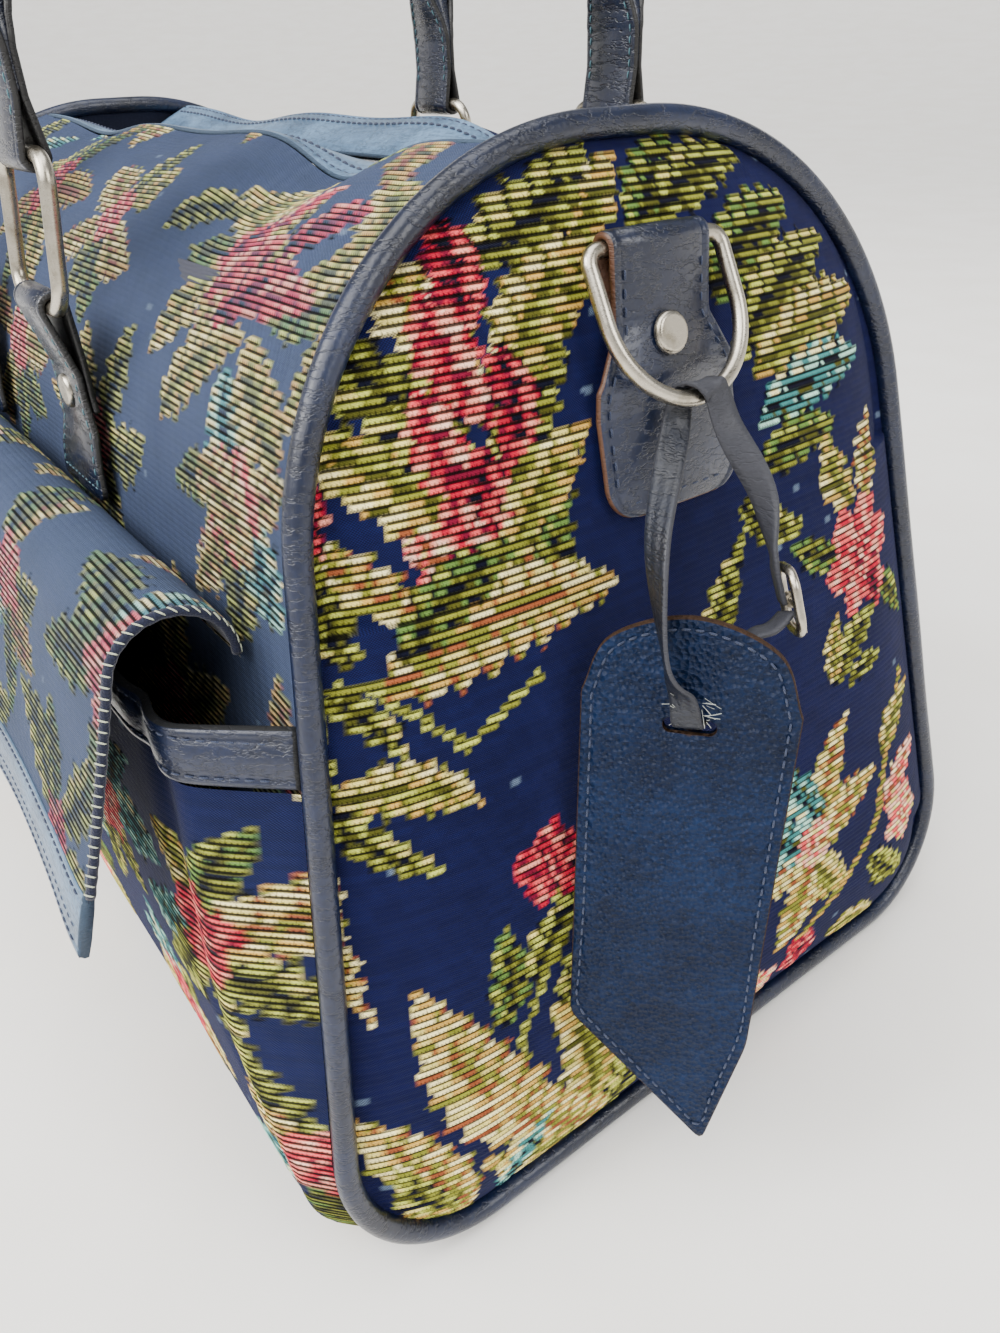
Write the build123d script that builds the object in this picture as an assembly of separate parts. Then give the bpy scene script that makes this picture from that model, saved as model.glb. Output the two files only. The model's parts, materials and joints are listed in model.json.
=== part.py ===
from build123d import *
import math
import os

# Carpet bag: tapestry duffel with leaning, domed end panels, a front pocket with a flap,
# two leather handles on oval rings, a D-ring on each end and a luggage tag on the right one.
# +X runs along the bag's length, the pocket faces -Y, +Z is up. All sizes are in millimetres.

os.makedirs("parts", exist_ok=True)

# ---- Body -------------------------------------------------------------------------------
MID_HALF_LENGTH = 225.0      # half length of the body at mid height
MID_Z = 140.0                # height at which that half length is measured
END_LEAN = 11.1              # degrees by which each end panel leans inward towards the top
BODY_TOP = 309.0             # height of the crown above the floor
BODY_BOTTOM = 3.0            # height of the wrap's underside above the floor
CROWN_RADIUS = 107.0         # radius of the two shoulder arcs
CROWN_HALF_FLAT = 10.0       # half width of the flat between the shoulder arcs
BASE_RADIUS = 46.0           # radius of the two bottom corner arcs
BASE_HALF_FLAT = 98.0        # half width of the flat between the bottom corners
WALL = 2.4                   # thickness of the backed tapestry
SOFT_GAP = 0.3               # gap between soft pieces that are sewn or laid together
BASE_BREAK_Z = 14.0          # height at which front and back panels meet the base panel

# ---- End panels and piping --------------------------------------------------------------
PIPING_RADIUS = 3.8
PIPING_INSET = 2.2           # how far the piping's centre line lies inside the outline
DOME_STEPS = [(6.4, 0.0), (20.0, 9.0), (50.0, 15.0), (85.0, 18.0)]   # (inset, height)

# ---- Lining and base board --------------------------------------------------------------
LINING_WALL = 0.6
BOARD_WALL = 2.5
BOARD_MARGIN = 12.0

# ---- Zip --------------------------------------------------------------------------------
CREST_Y = 36.0               # where the tapestry ends and the leather facing starts
FACING_WALL = 1.8
FACING_INNER_Y = 12.0
CHAIN_Z = 290.0              # height of the zip chain, in the valley between the facings
CHAIN_WALL = 2.4
TOOTH_REACH = 3.4            # how far the teeth reach from the middle
WEB_WALL = 1.0               # the slider's middle web
WEB_CLEARANCE = 0.25
TAPE_WALL = 0.8
TOP_HALF_LENGTH = 182.0      # half length of facings and tapes
SLIDER_LENGTH = 15.0
SLIDER_WIDTH = 11.0
SLIDER_PLATE = 1.4
SLIDER_CLEARANCE = 0.4
SLIDER_X = -150.0            # where the slider is parked, zip closed
LUG_RADIUS = 1.1
LUG_RISE = 3.2               # height of the pull's hinge line above the slider plate
PULL_LENGTH = 34.0
PULL_WIDTH = 9.0
PULL_WALL = 1.6

# ---- Pocket and flap --------------------------------------------------------------------
POCKET_TOP_Z = 184.0
BINDING_HEIGHT = 17.0
POCKET_WALL = 2.2
POCKET_TOP_Y = 149.0         # pocket front at its mouth, distance from the middle
POCKET_BELLY_Y = 157.0       # pocket front at its fullest
POCKET_BELLY_Z = 95.0
POCKET_FOOT_Y = 150.0
POCKET_FOOT_Z = 22.0
POCKET_HEM_Y = 134.0
POCKET_HEM_Z = 5.0
PLEAT_SLOPE = 40.0           # degrees at which the pocket's side gussets run to the ends
FLAP_HALF_WIDTH = 185.0
FLAP_WALL = 1.8
FLAP_LINING_WALL = 0.8
FLAP_CREST_RADIUS = 17.0
FLAP_ROOT_Z = 194.0
FLAP_ROOT_HEIGHT = 8.0       # seam allowance sewn flat to the bag
FLAP_HEM_Y = 173.0
FLAP_HEM_Z = 137.0
TRIM_HEIGHT = 20.0
TRIM_WALL = 3.2

# ---- Handles, their rings and chapes ----------------------------------------------------
HANDLE_X = 64.0
RING_WIRE = 2.4              # wire radius of the handle rings
RING_WIDTH = 45.4            # centre line sizes of a handle ring
RING_HEIGHT = 41.0
RING_CORNER = 8.0
RING_TILT = 8.0              # degrees by which a ring leans inward at rest
RING_AXIS_Y = 121.0
RING_AXIS_Z = 262.5
STRAP_WIDTH = 28.6           # width of the leather where it passes through a ring
STRAP_WALL = 2.2
PLY_GAP = 0.06               # gap between the two plies of a folded strap
CHAPE_FOOT_WIDTH = 44.0
CHAPE_FOOT_Z = 203.0
RUNNING_GAP = 0.08           # radial clearance between a wire and its leather loop
GRIP_RADIUS = 7.5
GRIP_SPRING_Z = 350.0        # height at which the round grip starts

# ---- Rivets -----------------------------------------------------------------------------
RIVET_HEAD_RADIUS = 5.5
RIVET_HEAD_RISE = 1.8
RIVET_SHANK_RADIUS = 2.0

# ---- End tabs and D-rings ---------------------------------------------------------------
TAB_U = -8.0                 # sideways place of the tab on the end panel
TAB_AXIS_V = 141.0           # height of the D-ring's bar along the end panel
TAB_WALL = 2.0
TAB_PLY_GAP = 0.35           # gap between the tab's plies, which part towards the loop
TAB_STRAP_WIDTH = 34.0
TAB_PATCH_WIDTH = 50.0
TAB_PATCH_FOOT_V = 74.0
D_WIRE = 2.1
D_HALF_WIDTH = 23.0
D_HEIGHT = 40.0
D_TILT = 17.0                # degrees by which the D-ring stands off the end panel
D_U = -7.0

# ---- Tag --------------------------------------------------------------------------------
TAG_YAW = 39.0               # degrees that the tag's width turns from +X towards +Y
TAG_PITCH = 14.0             # degrees that the tag's foot swings outward
TAG_SLOT_AT = (262.6, -34.9, 172.4)
TAG_LEAF_WALL = 1.9
TAG_LEAF_GAP = 0.2
TAG_SLOT = (14.0, 4.2)
BAND_WIDTH = 8.0
BAND_WALL = 1.4
BUCKLE_WIRE = 1.3
BUCKLE_SIZE = (17.0, 15.0)

lean = math.radians(END_LEAN)
END = Plane(
    origin=(MID_HALF_LENGTH, 0, MID_Z),
    x_dir=(0, 1, 0),
    z_dir=(math.cos(lean), 0, math.sin(lean)),
)
BIG = 900.0                  # larger than the bag, for cutting
MIN_ARC = 6.0                # smallest corner arc of an inset outline

nodes = {}


def end_point(u, v, w):
    """Point of the bag from sideways, upward and outward distances on the end plane."""
    return END.from_local_coords(Vector(u, v, w))


def corner_arcs(inset):
    """Centres and radii of the shoulder and bottom arcs, and the angle where the side leaves them."""
    crown = max(CROWN_RADIUS - inset, MIN_ARC)
    base = max(BASE_RADIUS - inset, MIN_ARC)
    shrink = max(inset - (BASE_RADIUS - MIN_ARC), 0.0)
    crown_v = (BODY_TOP - MID_Z) / math.cos(lean) - inset - crown
    base_v = (BODY_BOTTOM - MID_Z) / math.cos(lean) + inset + base
    base_u = BASE_HALF_FLAT - shrink
    reach = math.hypot(CROWN_HALF_FLAT - base_u, crown_v - base_v)
    heading = math.atan2(crown_v - base_v, CROWN_HALF_FLAT - base_u)
    side = heading - math.acos((base - crown) / reach)
    return (CROWN_HALF_FLAT, crown_v, crown), (base_u, base_v, base), side


def arc_point(arc, angle, sign=1):
    """Point of a corner arc at an angle, on the right or mirrored to the left."""
    u, v, radius = arc
    return (sign * (u + radius * math.cos(angle)), v + radius * math.sin(angle))


def outline(inset):
    """The end panel's outline: shoulder arcs, straight sides, bottom corner arcs."""
    crown, base, side = corner_arcs(inset)
    edges = []
    for arc, angle in ((crown, math.pi / 2), (base, -math.pi / 2)):
        edges.append(Line(arc_point(arc, angle, -1), arc_point(arc, angle)))
        middle = (side + angle) / 2
        for sign in (-1, 1):
            stops = [arc_point(arc, a, sign) for a in (angle, middle, side)]
            edges.append(ThreePointArc(*stops))
    for sign in (-1, 1):
        edges.append(Line(arc_point(crown, side, sign), arc_point(base, side, sign)))
    return make_face(Curve() + edges)


def half_width(z):
    """Half width of the body at a height on its straight sides or shoulders."""
    crown, base, side = corner_arcs(0)
    v = (z - MID_Z) / math.cos(lean)
    high_u, high_v = arc_point(crown, side)
    low_u, low_v = arc_point(base, side)
    if v >= high_v:
        return crown[0] + math.sqrt(crown[2] ** 2 - (v - crown[1]) ** 2)
    return low_u + (high_u - low_u) * (v - low_v) / (high_v - low_v)


def body_prism(inset, end_gap):
    """The body's volume, inset all round, ending a gap inside each end plane."""
    face = Pos(-end_gap / math.cos(lean), 0, 0) * (END * outline(inset))
    reach = extrude(face, BIG, dir=(-1, 0, 0))
    return reach & mirror(reach, about=Plane.YZ)


def slab(y_range, z_range, x_range=(-BIG / 2, BIG / 2)):
    """Axis-aligned box from its ranges."""
    sizes = [b - a for a, b in (x_range, y_range, z_range)]
    centre = [(a + b) / 2 for a, b in (x_range, y_range, z_range)]
    return Pos(*centre) * Box(*sizes)


def side_of(points, distance):
    """Points moved square to their polyline, with mitred corners; plus is the right side."""
    moved = []
    for index in range(len(points)):
        normals = []
        for a, b in ((index - 1, index), (index, index + 1)):
            if a >= 0 and b < len(points):
                step = Vector(*points[b]) - Vector(*points[a])
                normals.append(Vector(step.Y, -step.X).normalized())
        normal = normals[0] + normals[-1]
        shift = normal * (2 * distance / normal.dot(normal))
        moved.append((points[index][0] + shift.X, points[index][1] + shift.Y))
    return moved


def ribbon(points, wall):
    """Face of a thin strip along a polyline, seen edge-on."""
    return Polygon(*side_of(points, wall / 2), *reversed(side_of(points, -wall / 2)), align=None)


def hairpin(before, centre, radius, start, turn, after, wall):
    """Face of a thin strip along a polyline, round an arc (radians) and along another polyline."""
    def at(angle, reach):
        return (centre[0] + reach * math.cos(angle), centre[1] + reach * math.sin(angle))

    stop = start + turn
    rails = []
    for distance in (wall / 2, -wall / 2):
        reach = radius + (distance if turn > 0 else -distance)
        first, last = at(start, reach), at(stop, reach)
        lead = (side_of(before + [at(start, radius)], distance)[:-1] if before else []) + [first]
        tail = [last] + side_of([at(stop, radius)] + after, distance)[1:]
        rails.append((lead, ThreePointArc(first, at(start + turn / 2, reach), last), tail))
    edges = []
    for lead, arc, tail in rails:
        edges += [Polyline(*lead)] if len(lead) > 1 else []
        edges += [arc]
        edges += [Polyline(*tail)] if len(tail) > 1 else []
    edges += [Line(rails[0][0][0], rails[1][0][0]), Line(rails[0][2][-1], rails[1][2][-1])]
    return make_face(Curve() + edges)


def strip(face, width, x=0.0):
    """Leather or cloth strip: a face in the YZ plane, widened along X."""
    return Pos(x, 0, 0) * extrude(Plane.YZ * face, width / 2, both=True)


def left_of(shape):
    """The mirrored piece at the other end of the bag."""
    return mirror(shape, about=Plane.YZ)


def rear_of(shape):
    """The mirrored piece on the back of the bag."""
    return mirror(shape, about=Plane.XZ)


def rounded_loop(width, height, corner):
    """Closed centre line of an oval ring, its lower bar on the X axis."""
    return RectangleRounded(width, height, corner).moved(Pos(0, height / 2, 0)).wire()


def ring_on(plane, path_wire, start, direction, wire_radius):
    """Round wire bent along a closed path that lies in a plane."""
    profile = Plane(origin=start, z_dir=direction) * Circle(wire_radius)
    return plane * sweep(profile, path=path_wire)


def rivet(length):
    """Domed rivet along Z: shank of the plies' length with a head on its outer end."""
    head = extrude(Circle(RIVET_HEAD_RADIUS), RIVET_HEAD_RISE)
    head = fillet(head.faces().sort_by(Axis.Z)[-1].edges(), RIVET_HEAD_RISE * 0.8)
    return head + Pos(0, 0, -length / 2) * Cylinder(RIVET_SHANK_RADIUS, length)


# ---- Body wrap --------------------------------------------------------------------------
def build_body():
    end_gap = PIPING_RADIUS + SOFT_GAP
    wrap = body_prism(0, end_gap) - body_prism(WALL, -end_gap)
    front = wrap & slab((-BIG / 2, -CREST_Y), (BASE_BREAK_Z, BIG))
    nodes["front_panel"] = front
    nodes["back_panel"] = rear_of(front)
    base = wrap & slab((-BIG / 2, BIG / 2), (-1.0, BASE_BREAK_Z - SOFT_GAP))
    base_half = MID_HALF_LENGTH + (MID_Z - BODY_BOTTOM) * math.tan(lean) - 2 * end_gap
    sole = slab((-BASE_HALF_FLAT, BASE_HALF_FLAT), (0, BODY_BOTTOM + 0.5), (-base_half, base_half))
    nodes["base_panel"] = base + sole

    tub = body_prism(WALL + SOFT_GAP, end_gap) - body_prism(WALL + SOFT_GAP + LINING_WALL, end_gap + LINING_WALL)
    nodes["lining"] = tub & slab((-BIG / 2, BIG / 2), (0, CHAIN_Z - 12.0))
    floor_z = BODY_BOTTOM + WALL + SOFT_GAP + LINING_WALL + SOFT_GAP
    board_x = base_half - BOARD_MARGIN
    board_y = BASE_HALF_FLAT - SOFT_GAP
    nodes["base_board"] = slab((-board_y, board_y), (floor_z, floor_z + BOARD_WALL), (-board_x, board_x))


# ---- End panels and piping --------------------------------------------------------------
def dome(lift):
    """Solid under a faceted dome over the end outline, moved outward by a lift."""
    sections = [END.offset(rise + lift) * outline(inset) for inset, rise in DOME_STEPS]
    return loft(sections, ruled=True)


def build_ends():
    panel = dome(0) - dome(-WALL)
    nodes["end_panel_right"] = panel
    nodes["end_panel_left"] = left_of(panel)
    track = outline(PIPING_INSET).wire()
    top = (BODY_TOP - MID_Z) / math.cos(lean) - PIPING_INSET
    piping = ring_on(END, track, (0, top, 0), (1, 0, 0), PIPING_RADIUS)
    nodes["end_piping_right"] = piping
    nodes["end_piping_left"] = left_of(piping)


# ---- Zip --------------------------------------------------------------------------------
def build_zip():
    crest_z = BODY_TOP - CROWN_RADIUS + math.sqrt(CROWN_RADIUS**2 - (CREST_Y - CROWN_HALF_FLAT) ** 2)
    facing_path = [
        (-CREST_Y + 4 * SOFT_GAP, crest_z - FACING_WALL / 2 - SOFT_GAP),
        (-FACING_INNER_Y, CHAIN_Z + TAPE_WALL / 2 + SOFT_GAP + FACING_WALL / 2),
    ]
    facing = strip(ribbon(facing_path, FACING_WALL), 2 * TOP_HALF_LENGTH)
    nodes["zip_facing_front"] = facing
    nodes["zip_facing_rear"] = rear_of(facing)
    tape = slab(
        (-FACING_INNER_Y - 6.0, -TOOTH_REACH - SOFT_GAP / 2),
        (CHAIN_Z - TAPE_WALL / 2, CHAIN_Z + TAPE_WALL / 2),
        (-TOP_HALF_LENGTH, TOP_HALF_LENGTH),
    )
    tape -= facing
    nodes["zip_tape_front"] = tape
    nodes["zip_tape_rear"] = rear_of(tape)
    half_web = WEB_WALL / 2 + WEB_CLEARANCE
    teeth = slab(
        (-TOOTH_REACH, -half_web),
        (CHAIN_Z - CHAIN_WALL / 2, CHAIN_Z + CHAIN_WALL / 2),
        (-TOP_HALF_LENGTH + 8.0, TOP_HALF_LENGTH - 8.0),
    )
    nodes["zip_teeth_front"] = teeth
    nodes["zip_teeth_rear"] = rear_of(teeth)


def build_slider():
    gap = CHAIN_WALL / 2 + SLIDER_CLEARANCE
    plate = Box(SLIDER_LENGTH, SLIDER_WIDTH, SLIDER_PLATE)
    plate = fillet(plate.edges().filter_by(Axis.Z), 3.5)
    body = Pos(0, 0, gap + SLIDER_PLATE / 2) * plate
    body += Pos(0, 0, -gap - SLIDER_PLATE / 2) * plate
    body += Box(SLIDER_LENGTH - 3.0, WEB_WALL, 2 * gap + SLIDER_PLATE)
    hinge_z = gap + SLIDER_PLATE + LUG_RISE
    cheek_wall = 1.2
    cheek_y = PULL_WIDTH / 2 - 1.6
    for side in (-1, 1):
        cheek = Pos(0, side * cheek_y, (hinge_z + gap) / 2) * Box(3.0, cheek_wall, hinge_z - gap)
        body += cheek + Pos(0, side * cheek_y, hinge_z) * Rot(90, 0, 0) * Cylinder(1.5, cheek_wall)
    body += Pos(0, 0, hinge_z) * Rot(90, 0, 0) * Cylinder(LUG_RADIUS, 2 * cheek_y)
    place = Pos(SLIDER_X, 0, CHAIN_Z)
    nodes["zip_slider"] = place * body

    eye = 2 * cheek_y - cheek_wall - 0.6
    pull = Pos(PULL_LENGTH / 2, 0, 0) * Box(PULL_LENGTH, PULL_WIDTH, PULL_WALL)
    pull = fillet(pull.edges().filter_by(Axis.Z), 3.0)
    pull -= Pos(0, 0, 0) * Box(5.6, PULL_WIDTH + 1.0, PULL_WALL + 1.0)
    pull += Pos(3.0, 0, 0) * Box(4.0, eye, PULL_WALL)
    pull += Rot(90, 0, 0) * Cylinder(LUG_RADIUS + 0.9, eye)
    pull -= Rot(90, 0, 0) * Cylinder(LUG_RADIUS + RUNNING_GAP, eye + 1.0)
    nodes["zip_pull"] = place * Pos(0, 0, hinge_z) * pull
    print("pull hinge", SLIDER_X, 0, CHAIN_Z + hinge_z)


# ---- Pocket and flap --------------------------------------------------------------------
def pouch(inset):
    """Volume between the pocket's outer face and the bag's middle, inset by a wall."""
    t = inset
    section = Polygon(
        (-60, POCKET_TOP_Z + (BIG if t else 0)),
        (-POCKET_TOP_Y + t, POCKET_TOP_Z + (BIG if t else 0)),
        (-POCKET_TOP_Y + t, POCKET_TOP_Z),
        (-POCKET_BELLY_Y + t, POCKET_BELLY_Z),
        (-POCKET_FOOT_Y + t, POCKET_FOOT_Z + t / 2),
        (-POCKET_HEM_Y, POCKET_HEM_Z + t),
        (-60, POCKET_HEM_Z + t),
        align=None,
    )
    volume = extrude(Plane.YZ * section, BIG / 2, both=True)
    side = END * Pos(-half_width(MID_Z), 0, -PIPING_RADIUS - SOFT_GAP - 1.2 * t) * Rot(0, -PLEAT_SLOPE, 0)
    limit = side * Pos(-BIG / 2 + 40.0, 0, -BIG / 2) * Box(BIG, BIG, BIG)
    ends = body_prism(-80.0, PIPING_RADIUS + SOFT_GAP + t)
    return volume & limit & left_of(limit) & ends


def build_pocket():
    shell = pouch(0) - pouch(POCKET_WALL) - body_prism(-SOFT_GAP, -60.0)
    seam_z = POCKET_TOP_Z - BINDING_HEIGHT
    nodes["pocket_panel"] = shell & slab((-BIG / 2, 0), (0, seam_z - SOFT_GAP / 2))
    nodes["pocket_binding"] = shell & slab((-BIG / 2, 0), (seam_z + SOFT_GAP / 2, BIG))


def flap_line():
    """Flap seen from its side: crest centre, angle where the front leaves it, and hem."""
    root_y = -half_width(FLAP_ROOT_Z) - SOFT_GAP - FLAP_WALL / 2 - 1.6
    centre = (root_y - FLAP_CREST_RADIUS, FLAP_ROOT_Z)
    hang = Vector(-FLAP_HEM_Y - centre[0], FLAP_HEM_Z - FLAP_ROOT_Z)
    leave = math.atan2(hang.Y, hang.X) % (2 * math.pi) - math.acos(FLAP_CREST_RADIUS / hang.length)
    return centre, leave


def build_flap():
    width = 2 * FLAP_HALF_WIDTH
    centre, leave = flap_line()
    hem = Vector(-FLAP_HEM_Y, FLAP_HEM_Z)
    fall = Vector(-math.sin(leave), math.cos(leave))
    foot_z = FLAP_ROOT_Z - FLAP_ROOT_HEIGHT
    root = [(-half_width(foot_z) - SOFT_GAP - FLAP_WALL / 2, foot_z)]
    outer = hairpin(root, centre, FLAP_CREST_RADIUS, 0, leave, [(hem.X, hem.Y)], FLAP_WALL)
    nodes["pocket_flap"] = strip(outer, width)
    step = (FLAP_WALL + FLAP_LINING_WALL) / 2 + 0.15
    inner_hem = hem - Vector(math.cos(leave), math.sin(leave)) * step - fall * 1.0
    inner = hairpin([], centre, FLAP_CREST_RADIUS - step, 0, leave, [(inner_hem.X, inner_hem.Y)], FLAP_LINING_WALL)
    nodes["flap_lining"] = strip(inner, width - 2.0)
    top = hem + fall * SOFT_GAP - Vector(math.cos(leave), math.sin(leave)) * (step / 3)
    foot = top + fall * TRIM_HEIGHT
    nodes["flap_trim"] = strip(ribbon([(top.X, top.Y), (foot.X, foot.Y)], TRIM_WALL), width)


# ---- Handles ----------------------------------------------------------------------------
def build_chapes():
    foot = -half_width(CHAPE_FOOT_Z) - SOFT_GAP - STRAP_WALL / 2
    belly_z = 224.0
    belly = -half_width(belly_z) - SOFT_GAP - STRAP_WALL / 2
    ply = STRAP_WALL + PLY_GAP
    waist_z = (CHAPE_FOOT_Z + belly_z) / 2
    waist = -half_width(waist_z) - 2 * SOFT_GAP - STRAP_WALL / 2
    back = [(foot, CHAPE_FOOT_Z), (waist, waist_z), (belly, belly_z), (belly, 246.0)]
    front = [(belly - ply, 242.0), (belly - ply, belly_z), (waist - ply, waist_z), (foot - ply, CHAPE_FOOT_Z + 2.0)]
    reach = RING_WIRE + RUNNING_GAP + STRAP_WALL / 2
    axis = (-RING_AXIS_Y, RING_AXIS_Z)
    side = hairpin(back, axis, reach, -0.08, math.pi + 0.4, front, STRAP_WALL)
    keystone = Polygon(
        (-CHAPE_FOOT_WIDTH / 2, CHAPE_FOOT_Z - 5),
        (CHAPE_FOOT_WIDTH / 2, CHAPE_FOOT_Z - 5),
        (STRAP_WIDTH / 2, belly_z + 10),
        (STRAP_WIDTH / 2, RING_AXIS_Z + 20),
        (-STRAP_WIDTH / 2, RING_AXIS_Z + 20),
        (-STRAP_WIDTH / 2, belly_z + 10),
        align=None,
    )
    limit = Pos(HANDLE_X, 0, 0) * extrude(Plane.XZ * keystone, BIG / 2, both=True)
    rivet_z = 235.0
    plies = ply + STRAP_WALL
    head_y = belly - ply - STRAP_WALL / 2
    place = Pos(HANDLE_X, head_y, rivet_z) * Rot(90, 0, 0)
    hole = place * Pos(0, 0, -plies / 2) * Cylinder(RIVET_SHANK_RADIUS + RUNNING_GAP, plies + 2.0)
    chape = strip(side, CHAPE_FOOT_WIDTH + 4.0, HANDLE_X) & limit
    chape -= hole
    stud = place * rivet(plies)
    nodes["front_chape_right"] = chape
    nodes["front_chape_left"] = left_of(chape)
    nodes["rear_chape_right"] = rear_of(chape)
    nodes["rear_chape_left"] = left_of(rear_of(chape))
    right = [stud, rear_of(stud)]
    nodes["chape_rivets"] = Compound(children=right + [left_of(s) for s in right])


def handle_top():
    """Place of the wire at the top of a resting handle ring: y and z."""
    tilt = math.radians(RING_TILT)
    return (-RING_AXIS_Y + RING_HEIGHT * math.sin(tilt), RING_AXIS_Z + RING_HEIGHT * math.cos(tilt))


def build_handles():
    track = rounded_loop(RING_WIDTH, RING_HEIGHT, RING_CORNER)
    upright = Plane(origin=(0, 0, 0), x_dir=(1, 0, 0), z_dir=(0, -1, 0))
    link = ring_on(upright, track, (0, 0, 0), (1, 0, 0), RING_WIRE)
    link = Pos(HANDLE_X, -RING_AXIS_Y, RING_AXIS_Z) * Rot(-RING_TILT, 0, 0) * link
    nodes["front_ring_right"] = link
    nodes["front_ring_left"] = left_of(link)
    nodes["rear_ring_right"] = rear_of(link)
    nodes["rear_ring_left"] = left_of(rear_of(link))

    axis_y, axis_z = handle_top()
    reach = RING_WIRE + RUNNING_GAP + STRAP_WALL / 2
    join_z = axis_z + 14.0
    half = (STRAP_WALL + PLY_GAP) / 2
    back = [(axis_y + half, GRIP_SPRING_Z), (axis_y + half, join_z)]
    fore = [(axis_y - half, join_z), (axis_y - half, GRIP_SPRING_Z)]
    leg = strip(hairpin(back, (axis_y, axis_z), reach, 0.18, -math.pi - 0.36, fore, STRAP_WALL), STRAP_WIDTH, HANDLE_X)
    neck = Pos(HANDLE_X, axis_y, GRIP_SPRING_Z - 9.0)
    cone = loft([neck * Rectangle(STRAP_WIDTH - 4, 2 * STRAP_WALL - 0.4), neck * Pos(0, 0, 12) * Rectangle(12, 11)])
    arch = Plane(origin=(0, axis_y, GRIP_SPRING_Z), x_dir=(1, 0, 0), z_dir=(0, -1, 0))
    bend = CenterArc((0, 0), HANDLE_X, 0, 180)
    grip = arch * sweep(Plane(origin=(HANDLE_X, 0, 0), z_dir=(0, 1, 0)) * Circle(GRIP_RADIUS), path=bend)
    rivet_z = axis_z + 24.0
    plies = 2 * STRAP_WALL + PLY_GAP
    place = Pos(HANDLE_X, axis_y - plies / 2, rivet_z) * Rot(90, 0, 0)
    hole = place * Pos(0, 0, -plies / 2) * Cylinder(RIVET_SHANK_RADIUS + RUNNING_GAP, plies + 2.0)
    side = leg + cone - hole
    handle = grip + side + left_of(side)
    stud = place * rivet(plies)
    nodes["handle_front"] = handle
    nodes["handle_rear"] = rear_of(handle)
    nodes["handle_rivets_front"] = Compound(children=[stud, left_of(stud)])
    nodes["handle_rivets_rear"] = Compound(children=[rear_of(stud), left_of(rear_of(stud))])
    print("ring hinge", -RING_AXIS_Y, RING_AXIS_Z, "handle hinge", axis_y, axis_z)


# ---- End tabs and D-rings ---------------------------------------------------------------
def dome_rise(v):
    """Height of the dome above the end plane on its upright middle line."""
    top = (BODY_TOP - MID_Z) / math.cos(lean)
    steps = sorted((top - inset, rise) for inset, rise in DOME_STEPS)
    if v <= steps[0][0]:
        return steps[0][1]
    for (v0, w0), (v1, w1) in zip(steps, steps[1:]):
        if v <= v1:
            return w0 + (w1 - w0) * (v - v0) / (v1 - v0)
    return 0.0


def tab_axis():
    """Upward and outward place of the D-ring's bar on the end plane."""
    ply = dome_rise(TAB_AXIS_V) + SOFT_GAP + TAB_WALL
    return TAB_AXIS_V, ply + D_WIRE + RUNNING_GAP + 0.4


def build_tabs():
    axis_v, axis_w = tab_axis()
    lift = SOFT_GAP + TAB_WALL / 2
    reach = D_WIRE + RUNNING_GAP + TAB_WALL / 2
    steps = [TAB_PATCH_FOOT_V, 88.0, 122.5]
    back = [(v, dome_rise(v) + lift) for v in steps]
    fore = [(v, dome_rise(v) + lift + TAB_WALL + TAB_PLY_GAP) for v in (124.0, 108.0)]
    profile = hairpin(back, (axis_v, axis_w), reach, -math.pi / 2 - 0.18, math.pi + 0.24, fore, TAB_WALL)
    side_plane = Plane(origin=(0, 0, 0), x_dir=(0, 1, 0), z_dir=(1, 0, 0))
    leather = extrude(side_plane * profile, TAB_PATCH_WIDTH / 2 + 2.0, both=True)
    half_strap = TAB_STRAP_WIDTH / 2
    half_patch = TAB_PATCH_WIDTH / 2
    keystone = Polygon(
        (-half_patch, TAB_PATCH_FOOT_V - 0.5),
        (half_patch, TAB_PATCH_FOOT_V - 0.5),
        (half_patch, 108.0),
        (half_strap, 122.0),
        (half_strap, axis_v + 10),
        (-half_strap, axis_v + 10),
        (-half_strap, 122.0),
        (-half_patch, 108.0),
        align=None,
    )
    keystone = fillet(keystone.vertices().sort_by(Axis.Y)[:2], 10.0)
    leather &= extrude(keystone, BIG, both=True)
    rivet_v = 119.0
    plies = 2 * TAB_WALL + TAB_PLY_GAP
    head_w = dome_rise(rivet_v) + SOFT_GAP + plies
    slope = math.degrees(math.atan2(dome_rise(124.0) - dome_rise(114.0), 10.0))
    place = Pos(0, rivet_v, head_w) * Rot(slope, 0, 0)
    leather -= place * Pos(0, 0, -plies / 2) * Cylinder(RIVET_SHANK_RADIUS + RUNNING_GAP, plies + 2.0)
    seat = END * Pos(TAB_U, 0, 0)
    tab = seat * leather
    stud = seat * place * rivet(plies - 0.4)
    nodes["end_tab_right"] = tab
    nodes["end_tab_left"] = left_of(tab)
    nodes["tab_rivets"] = Compound(children=[stud, left_of(stud)])


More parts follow.
